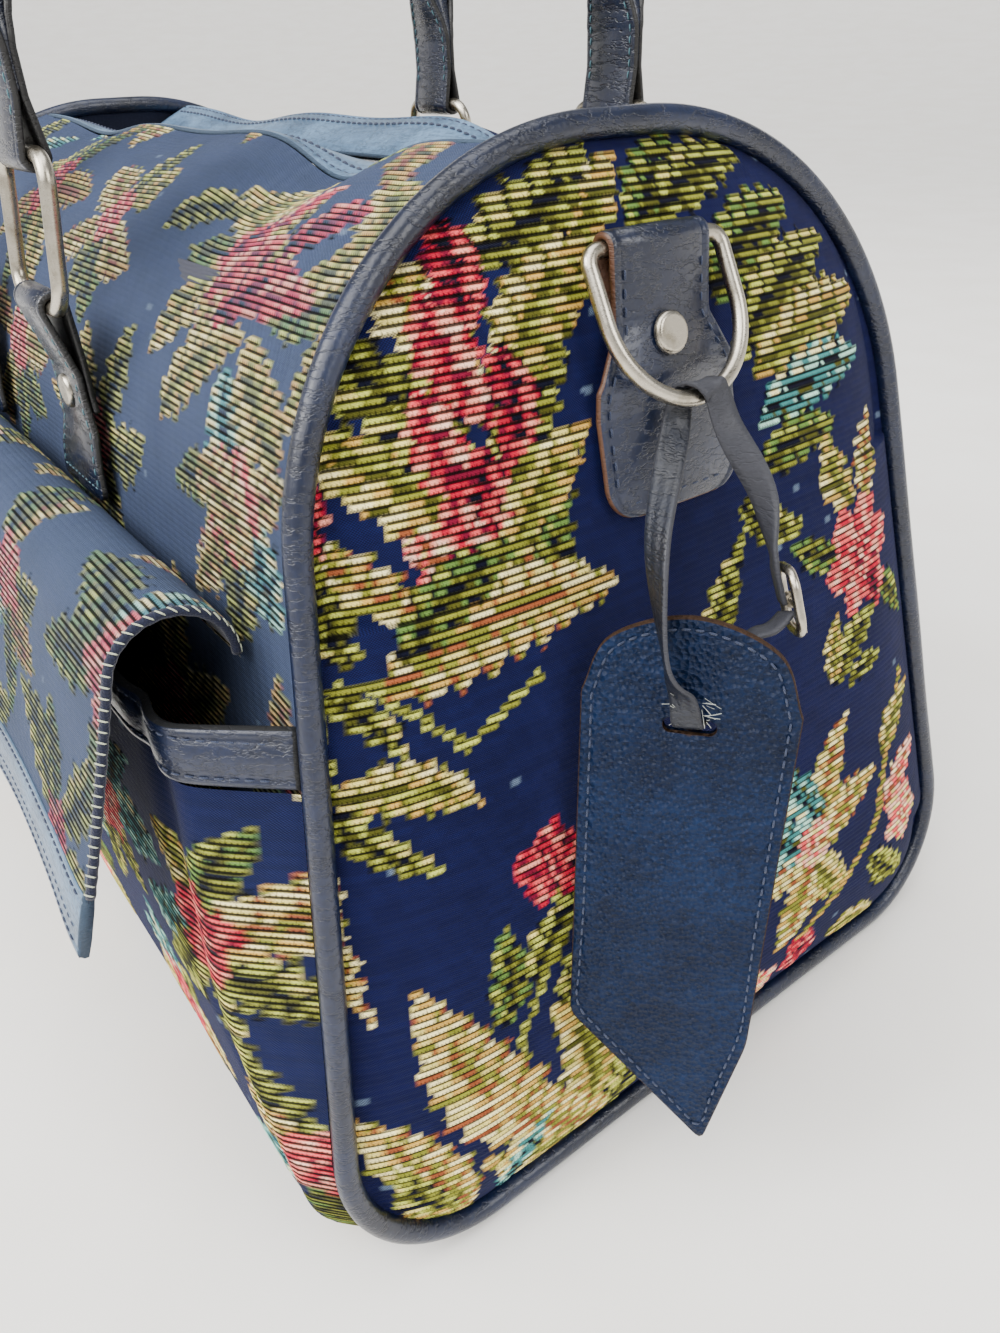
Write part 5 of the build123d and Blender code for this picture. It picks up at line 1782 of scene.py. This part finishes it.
@dataclass
class HandleSet:
    """Both handles with their chapes, rings and rivets."""

    bench: Bench
    handle_x: float = 64.0
    wall: float = 2.2
    half: float = 14.3
    loop: float = 3.58
    ring_axis: tuple[float, float] = (-121.0, 262.5)
    top_axis: tuple[float, float] = (-115.2939, 303.101)
    foot_half: float = 22.0
    foot_z: float = 203.0
    grip_radius: float = 7.5
    spring_z: float = 350.0

    def chape(self) -> tuple[Mould, Mould]:
        """The front right chape: a strap that loops round the ring, with its stitches.

        Returns:
            Leather and thread.
        """
        form = self.bench.form

        def ply(z: float, gap: float = 0.35) -> float:
            """Middle of the front ply at a height."""
            return -float(form.wall_y(z)) - gap - 1.5 * self.wall - 0.06

        axis = np.array(self.ring_axis)
        angle = np.linspace(math.pi + 0.32, -0.08, 24)
        turn = axis + self.loop * np.stack([np.cos(angle), np.sin(angle)], axis=1)
        lead = np.array([(ply(self.foot_z) + 0.3, self.foot_z), (ply(208), 208), (ply(213.5, 0.7), 213.5),
                         (ply(224), 224), (ply(224), 233), (ply(224), 242)])
        back = np.array([(ply(224) + self.wall, 246.0), (ply(224) + self.wall, 230.0)])
        line = spaced(np.vstack([lead, turn, back]), 110)
        path = np.stack([np.full(len(line), self.handle_x), line[:, 0], line[:, 1]], axis=1)
        run = run_of(line)
        half = np.interp(line[:, 1], [self.foot_z, 234.0], [self.foot_half, self.half])
        half -= 4.0 * (1 - np.sqrt(1 - (1 - np.clip(run / 4.0, 0, 1)) ** 2))
        leather, thread = Mould(), Mould()
        leather.strap(path, (-1, 0, 0), half, self.wall, crown=0.3)
        face = facing(path, (-1.0, 0.0, 0.0))
        shown = line[:, 1] > 206.5
        shown[60:] = False
        for way in (-1.0, 1.0):
            edge = path + np.array([way, 0, 0]) * (half - 3.0)[:, None] + face * (0.5 * self.wall + 0.02)
            thread.stitches(edge[shown], face[shown], 3.6, 2.6, 0.3)
        across = np.linspace(-1, 1, 12)[:, None] * np.array([self.foot_half - 4.0, 0, 0])
        first = path[np.argmax(run > 3.2)] + face[4] * (0.5 * self.wall + 0.02)
        thread.stitches(first + across, face[4], 3.6, 2.6, 0.3)
        return leather, thread

    def grip(self) -> tuple[Mould, Mould]:
        """The front handle: a round grip that flattens into legs, with its seam.

        Returns:
            Leather and thread.
        """
        axis_y = self.top_axis[0]
        turn = np.linspace(0, math.pi, 90)
        rise = np.linspace(318.5, self.spring_z, 40)[:-1]
        right = np.stack([np.full(39, self.handle_x), np.full(39, axis_y), rise], axis=1)
        arch = np.stack([self.handle_x * np.cos(turn), np.full(90, axis_y),
                         self.spring_z + self.handle_x * np.sin(turn)], axis=1)
        path = np.vstack([right, arch, right[::-1] * np.array([-1, 1, 1])])
        along = unit(np.gradient(path, axis=0))
        depth = np.array([0.0, -1.0, 0.0])
        side = np.cross(along, depth)
        ease = np.clip((path[:, 2] - 329.0) / 25.0, 0, 1)
        ease = ease**2 * (3 - 2 * ease)
        wide = self.half - 0.5 + (self.grip_radius - self.half + 0.5) * ease
        deep = 2.0 + (self.grip_radius - 2.0) * ease
        power = 0.45 + 0.55 * ease
        theta = np.linspace(0, 2 * math.pi, 32, endpoint=False)
        run = np.arange(len(path)) * 2.2
        crease = 1 + 0.02 * ease[:, None] * ripple(run[:, None], theta[None, :] * 9, 71, 30)
        cos, sin = np.cos(theta)[None, :], np.sin(theta)[None, :]
        x = wide[:, None] * np.sign(cos) * np.abs(cos) ** power[:, None] * crease
        y = deep[:, None] * np.sign(sin) * np.abs(sin) ** power[:, None] * crease
        leather, thread = Mould(), Mould()
        ring = path[:, None] + side[:, None] * x[..., None] + depth * y[..., None]
        leather.grid(ring, wrap_columns=True, capped=True)
        seam = ease > 0.7
        edge = path + side * (wide * 0.55)[:, None] + depth * (deep * 0.86)[:, None]
        thread.stitches(edge[seam], unit(side * 0.5 + depth)[seam], 4.4, 3.2, 0.36)
        self.add_legs(leather, thread)
        return leather, thread

    def add_legs(self, leather: Mould, thread: Mould) -> None:
        """Adds the plies that loop round the rings, with their pointed tongues.

        Args:
            leather: Mesh of the handle's leather.
            thread: Mesh of its stitches.
        """
        axis_y, axis_z = self.top_axis
        half_gap = self.wall / 2 + 0.03
        angle = np.linspace(math.pi + 0.18, 2 * math.pi - 0.18, 24)
        loop = np.stack([axis_y + self.loop * np.cos(angle), axis_z + self.loop * np.sin(angle)], axis=1)
        climb = [(axis_y - half_gap, 317.0), (axis_y - half_gap, 329.0), (axis_y - half_gap - 1.2, 336.0),
                 (axis_y - half_gap - 4.4, 345.0), (axis_y - half_gap - 6.3, 353.0), (axis_y - half_gap - 6.8, 359.0)]
        front = np.array(climb)[::-1]
        back = np.array([(2 * axis_y - y, z) for y, z in climb])
        line = spaced(np.vstack([front, loop, back]), 150)
        path = np.stack([np.full(len(line), self.handle_x), line[:, 0], line[:, 1]], axis=1)
        half = np.interp(line[:, 1], [331.0, 338.0, 350.0, 356.0, 359.0], [self.half, 12.6, 7.4, 4.6, 1.2])
        strap, sewn = Mould(), Mould()
        strap.strap(path, (1, 0, 0), half, self.wall, crown=0.3)
        face = facing(path, (1.0, 0.0, 0.0))
        for part in (slice(4, 58), slice(92, 146)):
            for way in (-1.0, 1.0):
                inset = np.maximum(half - 3.0, 1.0)
                edge = path + np.array([way, 0, 0]) * inset[:, None] + face * (0.5 * self.wall + 0.02)
                sewn.stitches(edge[part], face[part], 3.8, 2.8, 0.32)
        for made, kept in ((strap, leather), (sewn, thread)):
            kept.join(made)
            kept.join(made.mirrored((-1, 1, 1)))

    def make(self) -> None:
        """Makes chapes and handles, and dresses the metal."""
        chape, handle = self.chape(), self.grip()
        glazed = ("navy_glazed", "teal_thread")
        for flank in Flank:
            tag, side = flank.word, -flank.value
            for hand in Hand:
                end = hand.word
                self.bench.sew((f"chape_{tag}_{end}", f"chape_thread_{tag}_{end}"), chape, glazed, "bag",
                               f"{tag}_chape_{end}", "navy_leather", (hand.value, side, 1))
                self.bench.dress("nickel", f"{tag}_ring_{end}")
            self.bench.sew((f"handle_leather_{tag}", f"handle_thread_{tag}"), handle, glazed, f"handle_{tag}",
                           f"handle_{tag}", "navy_leather", (1, side, 1))
            self.bench.dress("nickel", f"handle_rivets_{tag}")
        self.bench.dress("nickel", "chape_rivets")


@dataclass
class EndTabs:
    """Leather tabs that hold the D-rings on the end panels."""

    bench: Bench
    wall: float = 2.0
    centre_u: float = -8.0
    axis_v: float = 141.0
    axis_w: float = 16.13
    loop: float = 3.18
    patch_half: float = 25.0
    strap_half: float = 17.0
    foot_v: float = 74.2
    foot_corner: float = 10.0

    def make(self) -> None:
        """Makes both tabs with their stitches."""
        form = self.bench.form

        def level(v: float, lift: float) -> float:
            """Height of a ply's middle above the end plane."""
            return float(form.dome(np.array(0.0), np.array(v))) - 1.15 + lift

        lead = [(v, level(v, 1.35)) for v in (self.foot_v, 80, 88, 96, 101)]
        lead += [(v, level(v, 2.2)) for v in (105,)] + [(v, level(v, 3.5)) for v in (110, 117, 124)]
        angle = np.linspace(1.63, -math.pi / 2 - 0.18, 26)
        turn = np.stack([self.axis_v + self.loop * np.cos(angle), self.axis_w + self.loop * np.sin(angle)], axis=1)
        back = [(v, level(v, 1.2)) for v in (132, 122.5)]
        line = spaced(np.vstack([np.array(lead), turn, np.array(back)]), 170)
        path = form.end_point(np.full(len(line), self.centre_u), line[:, 0], line[:, 1])
        run = run_of(line)
        half = np.interp(line[:, 0], [108.0, 122.0], [self.patch_half, self.strap_half])
        blunt = np.clip(run / self.foot_corner, 0, 1)
        half = half - self.foot_corner * (1 - np.sqrt(1 - (1 - blunt) ** 2))
        leather, thread = Mould(), Mould()
        leather.strap(path, (0, -1, 0), half, self.wall, crown=0.3, groove=0.3)
        face = facing(path, (0.0, -1.0, 0.0))
        side = np.array([0.0, 1.0, 0.0])
        shown = slice(int(np.argmax(run > 8.0)), int(np.argmax(line[:, 0] > 137.0)))
        for way in (-1.0, 1.0):
            edge = path + side * (way * (half - 3.6))[:, None] + face * (0.5 * self.wall + 0.05)
            thread.stitches(edge[shown], face[shown], 4.2, 2.8, 0.34)
        low = int(np.argmax(run > 3.6))
        row = path[low] + np.linspace(-1, 1, 14)[:, None] * side * (self.patch_half - 8.0) + face[low] * 1.05
        thread.stitches(row, face[low], 4.2, 2.8, 0.34)
        for hand in Hand:
            end = hand.word
            self.bench.sew((f"tab_{end}", f"tab_thread_{end}"), (leather, thread), ("navy_tab", "navy_thread"), "bag",
                           f"end_tab_{end}", "navy_hide", (hand.value, 1, 1))
            self.bench.dress("nickel", f"d_ring_{end}")
        self.bench.dress("nickel", "tab_rivets")


@dataclass
class Tag:
    """Luggage tag of two sewn leaves, its strap and its buckle."""

    bench: Bench
    origin: Triple = (262.6, -34.9, 172.4)
    yaw: float = math.radians(39.0)
    pitch: float = math.radians(14.0)
    leaf: float = 1.9
    gap: float = 0.1
    slot: tuple[float, float] = (14.0, 4.2)
    band_half: float = 4.0
    band_wall: float = 1.4
    ring_foot: Triple = (232.518, -7.0, 246.181)
    ring_wire: float = 2.1
    corner: float = 3.0
    frays: int = 16

    def axes(self) -> tuple[Array, Array, Array]:
        """The tag's own directions.

        Returns:
            Directions of its width, its length and its front.
        """
        across = np.array([math.cos(self.yaw), math.sin(self.yaw), 0.0])
        face = np.array([math.cos(self.pitch) * math.sin(self.yaw), -math.cos(self.pitch) * math.cos(self.yaw),
                         math.sin(self.pitch)])
        return across, np.cross(face, across), face

    def on_tag(self, s: Array, t: Array, k: Array) -> Array:
        """Points of the tag.

        Args:
            s: Places across it from its slot.
            t: Places up it from its slot.
            k: Heights off its middle plane.

        Returns:
            The points (..., 3).
        """
        across, up, face = self.axes()
        s, t, k = np.broadcast_arrays(np.asarray(s, float), np.asarray(t, float), np.asarray(k, float))
        return np.array(self.origin) + s[..., None] * across + t[..., None] * up + k[..., None] * face

    def outline(self) -> Array:
        """Outline of a leaf with its corners rounded.

        Returns:
            Points (n, 2), counter-clockwise from the right.
        """
        first, middle, last = np.array([28.0, 5.0]), np.array([-1.0, 29.0]), np.array([-29.0, 7.0])
        bulge = np.array([first, 0.5 * (first + middle) + (7.0, 4.4), middle,
                          0.5 * (middle + last) + (-7.2, 4.2), last])
        crown = eased(bulge, 16)
        sides = np.array([(-29.0, 7.0), (-27.0, -94.0), (14.5, -131.0), (24.0, -95.0), (28.0, 5.0)])
        made = [crown]
        for before, at, after in zip(sides[:-2], sides[1:-1], sides[2:]):
            a, b = at + unit(before - at) * self.corner, at + unit(after - at) * self.corner
            t = np.linspace(0, 1, 8)[:, None]
            made.append((1 - t) ** 2 * a + 2 * t * (1 - t) * at + t**2 * b)
        loop = np.vstack(made)
        return spaced(np.vstack([loop, loop[:1]]), 301)[:-1]

    def leaf_mould(self, front: bool) -> tuple[Mould, Mould]:
        """One leaf and its stitches.

        Args:
            front: True for the leaf that shows its outer face forward.

        Returns:
            Leather and thread.
        """
        rim = self.outline()
        step = unit(np.roll(rim, -1, 0) - np.roll(rim, 1, 0))
        out = np.stack([step[:, 1], -step[:, 0]], axis=1)
        ray = unit(rim)
        reach_in = 1.0 / np.clip(np.sum(ray * out, axis=1), 0.4, 1.0)
        inward = np.mean([np.roll(reach_in, k) for k in range(-3, 4)], axis=0)[:, None] * ray
        angle = np.arctan2(rim[:, 1], rim[:, 0])
        end = self.slot[0] / 2 - self.slot[1] / 2
        cos, sin, reach = np.cos(angle), np.sin(angle), self.slot[1] / 2
        flat = reach / np.maximum(np.abs(sin), 1e-6)
        on_cap = flat * np.abs(cos) > end
        cap = end * np.abs(cos) + np.sqrt(np.maximum(reach**2 - (end * sin) ** 2, 0))
        hole = np.where(on_cap, cap, flat)[:, None] * np.stack([cos, sin], axis=1)
        sign = 1.0 if front else -1.0
        wall = self.leaf
        rows: list[Array] = []
        raw: list[float] = []

        def put(loop: Array, height: float | Array, bare: float) -> None:
            """Adds one loop of the leaf's section."""
            rows.append(self.on_tag(loop[:, 0], loop[:, 1], sign * (self.gap + height)))
            raw.append(bare)

        put(hole, 0.0, 1.0)
        section = ((0.3, 0.0, 1.0), (0.0, 0.3 * wall, 1.0), (0.1, 0.82 * wall, 1.0), (0.7, wall, 0.0),
                   (2.2, wall + 0.12, 0.0), (3.0, wall - 0.3, 0.0), (3.9, wall + 0.15, 0.0))
        for inset, height, bare in section:
            put(rim - inset * inward, height, bare)
        inner = rim - 5.2 * inward
        for share in (0.0, 0.12, 0.26, 0.42, 0.58, 0.74, 0.88, 0.97):
            loop = inner + (hole - inner) * share
            put(loop, wall + 0.15 * (1 + ripple(loop[:, 0], loop[:, 1], 83, 46)), 0.0)
        put(hole, wall - 0.1, 0.6)
        leather, thread = Mould(), Mould()
        bare = np.repeat(np.array(raw), len(rim))
        grid = np.stack(rows)
        leather.grid(grid if front else grid[:, ::-1], wrap_columns=True, raw=bare)
        sewn = rim - 3.0 * inward
        line = self.on_tag(sewn[:, 0], sewn[:, 1], sign * (self.gap + wall - 0.12))
        line = np.vstack([line, line[:1]])
        thread.stitches(line, sign * self.axes()[2], 3.4, 2.4, 0.33)
        return leather, thread

    def band(self) -> tuple[Mould, Mould]:
        """The strap over the D-ring and through the tag, with its frayed threads.

        Returns:
            Leather and frayed threads.
        """
        x, y, z = self.ring_foot
        wrap = self.ring_wire + 0.7 + self.band_wall / 2
        across, up, face = self.axes()
        wide, edge_on, slot = (0.15, 1.0, 0.0), (0.75, -0.6, 0.2), tuple(across)
        stations = [
            ((263.9, -4.4, 198.3), edge_on), ((260.6, -4.6, 206.2), edge_on), ((258.0, -3.4, 211.5), edge_on),
            ((250.5, -0.5, 224.0), (0.7, 0.2, 0.3)),
            ((x + wrap + 4.0, y + 4.0, z - 8.0), (0.4, 1.0, 0.1)), ((x + wrap, y + 3.0, z), wide),
            ((x + 0.72 * wrap, y + 1.5, z + 0.72 * wrap), wide), ((x, y, z + wrap), wide),
            ((x - 0.72 * wrap, y - 1.5, z + 0.72 * wrap), wide), ((x - wrap, y - 3.0, z), wide),
            ((x - wrap + 2.2, y - 7.0, z - 9.0), (0.5, 1.0, 0.0)), ((246.8, -34.4, 218.0), (0.9, 0.1, 0.3)),
            ((259.4, -42.1, 193.4), edge_on), (self.on_tag(-2.5, 9.0, 5.2), (1.0, 0.2, 0.2)),
            (self.on_tag(-0.8, 1.5, 3.6), slot), (self.on_tag(0.0, 0.0, 0.0), slot),
            (self.on_tag(0.6, 0.6, -3.8), slot), (self.on_tag(5.0, 10.0, -6.2), (1.0, 0.3, 0.0)),
            (self.on_tag(12.0, 22.0, -7.5), edge_on),
            ((266.2, -10.5, 194.0), edge_on), ((266.4, -5.0, 196.6), edge_on),
        ]
        rails = np.array([np.r_[np.asarray(at, float), unit(np.array(turn, float)) * 4.0] for at, turn in stations])
        smooth = eased(rails, 9)
        leather, fray = Mould(), Mould()
        leather.strap(smooth[:, :3], unit(smooth[:, 3:]), self.band_half, self.band_wall, crown=0.15, groove=0.05)
        rng = np.random.default_rng(FRAY_SEED)
        for _ in range(self.frays):
            side = rng.choice((-1.0, 1.0))
            start = self.on_tag(side * rng.uniform(2.6, 4.2), rng.uniform(1.0, 9.0), rng.uniform(2.6, 4.4))
            drift = across * side * rng.uniform(0.2, 1.4) + up * rng.uniform(-1.0, 0.9) + face * rng.uniform(0.1, 0.9)
            reach = rng.uniform(2.0, 5.5)
            bend = unit(drift) * reach
            droop = rng.uniform(-0.4, 0.8) * up
            line = [start, start + bend * 0.5 + droop * 0.6, start + bend + droop * 1.6]
            fray.tube(eased(np.array(line), 5), rng.uniform(0.05, 0.11), 5)
        return leather, fray

    def make(self) -> None:
        """Makes leaves, strap and frayed threads, and dresses the buckle."""
        for front, name in ((True, "tag_front"), (False, "tag_back")):
            self.bench.sew((f"{name}_leaf", f"{name}_thread"), self.leaf_mould(front),
                           ("navy_pebbled", "navy_thread"), "tag", name, "navy_hide")
        leather, fray = self.band()
        self.bench.build("tag_strap_hide", leather, "strap_hide", "tag_strap", ["tag_strap"], "navy_hide")
        self.bench.build("tag_strap_fray", fray, "fray_thread", "tag_strap")
        self.bench.dress("nickel", "tag_buckle", "buckle_prong")


# ---- Studio -----------------------------------------------------------------------------
@dataclass
class Studio:
    """Camera, soft light and pale floor."""

    shift: Array
    spot: Triple = (403.343, -196.524, 322.247)
    azimuth: float = math.radians(54.2577)
    elevation: float = math.radians(31.8831)
    roll: float = math.radians(-2.2966)
    lens: float = 26.51
    floor_reach: float = 14.0

    def place_camera(self) -> None:
        """Puts the camera near the bag's right front corner, looking down on its end."""
        data = bpy.data.cameras.new("front_corner_view")
        data.lens, data.sensor_width = self.lens, 36.0
        data.clip_start, data.clip_end = 0.01, 40.0
        camera = bpy.data.objects.new("front_corner_view", data)
        turned = (Matrix.Rotation(self.azimuth, 4, "Z") @ Matrix.Rotation(math.pi / 2 - self.elevation, 4, "X")
                  @ Matrix.Rotation(self.roll, 4, "Z"))
        camera.matrix_world = Matrix.Translation(Vector((np.array(self.spot) + self.shift) * MM)) @ turned
        bpy.context.scene.collection.objects.link(camera)
        bpy.context.scene.camera = camera

    def hang_lamp(self, data: bpy.types.Light, spot: Sequence[float],
                  target: Sequence[float] = (0.0, 0.0, 0.0)) -> None:
        """Hangs a lamp so that it shines on a point.

        Args:
            data: The light.
            spot: Place of the lamp, in metres.
            target: The point that it shines on.
        """
        lamp = bpy.data.objects.new(data.name, data)
        lamp.location = spot
        lamp.rotation_mode = "QUATERNION"
        lamp.rotation_quaternion = (Vector(target) - Vector(spot)).to_track_quat("-Z", "Y")
        bpy.context.scene.collection.objects.link(lamp)

    def add_softbox(self, name: str, spot: Triple, size: float, power: float,
                    colour: Triple) -> None:
        """Adds a soft square light aimed at the bag.

        Args:
            name: Its name.
            spot: Place in metres.
            size: Side of the square in metres.
            power: Watts.
            colour: Its colour.
        """
        data = bpy.data.lights.new(name, "AREA")
        data.size, data.energy, data.color = size, power, colour
        self.hang_lamp(data, spot, (0.1, 0.0, 0.15))

    def add_sun(self, way: Triple, power: float) -> None:
        """Adds one even, very soft light from far away.

        Args:
            way: Direction that it comes from.
            power: Its strength.
        """
        data = bpy.data.lights.new("sky_light", "SUN")
        data.energy, data.angle, data.color = power, math.radians(55.0), (1.0, 0.99, 0.97)
        self.hang_lamp(data, way)

    def lay_floor(self) -> None:
        """Lays a large pale sheet of paper under the bag."""
        reach = np.linspace(-self.floor_reach, self.floor_reach, 49)
        x, y = np.meshgrid(reach, reach)
        far = np.maximum(np.hypot(x, y) - 3.0, 0)
        mould = Mould()
        mould.grid(np.stack([x, y, 0.03 * far**2 - 0.0002], axis=-1))
        mesh = bpy.data.meshes.new("paper_floor")
        mesh.from_pydata(mould.points[0].tolist(), [], mould.faces)
        mesh.polygons.foreach_set("use_smooth", np.ones(len(mesh.polygons), bool))
        dye = Dye("paper")
        grain = dye.noise(dye.place(), 9.0, 3.0)
        dye.surface(Base_Color=dye.mix(dye.smooth(grain, 0.3, 0.7), (*linear("f6f4f0"), 1), (*linear("f2efea"), 1)),
                    Roughness=0.7)
        mesh.materials.append(dye.material)
        floor = bpy.data.objects.new("paper_floor", mesh)
        bpy.context.scene.collection.objects.link(floor)

    def fill_world(self) -> None:
        """Surrounds the bag with even pale light."""
        world = bpy.data.worlds.new("pale_room")
        world.use_nodes = True
        sky = world.node_tree.nodes["Background"]
        sky.inputs["Color"].default_value = (0.92, 0.95, 1.0, 1.0)
        sky.inputs["Strength"].default_value = 0.4
        bpy.context.scene.world = world

    def make(self) -> None:
        """Sets up the whole studio."""
        self.lay_floor()
        self.fill_world()
        self.add_sun((0.25, -1.0, 1.3), 4.2)
        self.add_softbox("key", (-0.5, -1.6, 1.5), 1.1, 45.0, (1.0, 0.99, 0.97))
        self.add_softbox("fill", (1.9, 0.5, 1.5), 1.0, 26.0, (1.0, 0.99, 0.96))
        self.add_softbox("top", (0.0, 0.1, 2.1), 1.5, 30.0, (1.0, 1.0, 1.0))
        self.place_camera()


def find_shift() -> Array:
    """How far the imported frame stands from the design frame.

    Returns:
        The distance in millimetres, read from the boxes of mirrored solids.
    """
    middle = []
    for axis, pair in enumerate((("end_piping_right", "end_piping_left"), ("front_panel", "back_panel"))):
        boxes = [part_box(name) for name in pair]
        low = min(box[0][axis] for box in boxes)
        high = max(box[1][axis] for box in boxes)
        middle.append((low + high) / 2 / MM)
    return np.array([middle[0], middle[1], 0.0])


def main() -> None:
    """Builds every sub-assembly and the studio."""
    logging.basicConfig(level=logging.INFO, format="%(message)s")
    shift = find_shift()
    LOG.info("design frame stands at %.3f %.3f mm", shift[0], shift[1])
    wardrobe = Wardrobe()
    wardrobe.make()
    bench = Bench(frame, wardrobe, BagForm(), shift)
    for assembly in (BodyShell(bench), Pipings(bench), ZipTop(bench), FrontPocket(bench), Flap(bench),
                     HandleSet(bench), EndTabs(bench), Tag(bench), Studio(shift)):
        LOG.info("-- %s", type(assembly).__name__)
        assembly.make()


if __name__ == "__main__":
    main()
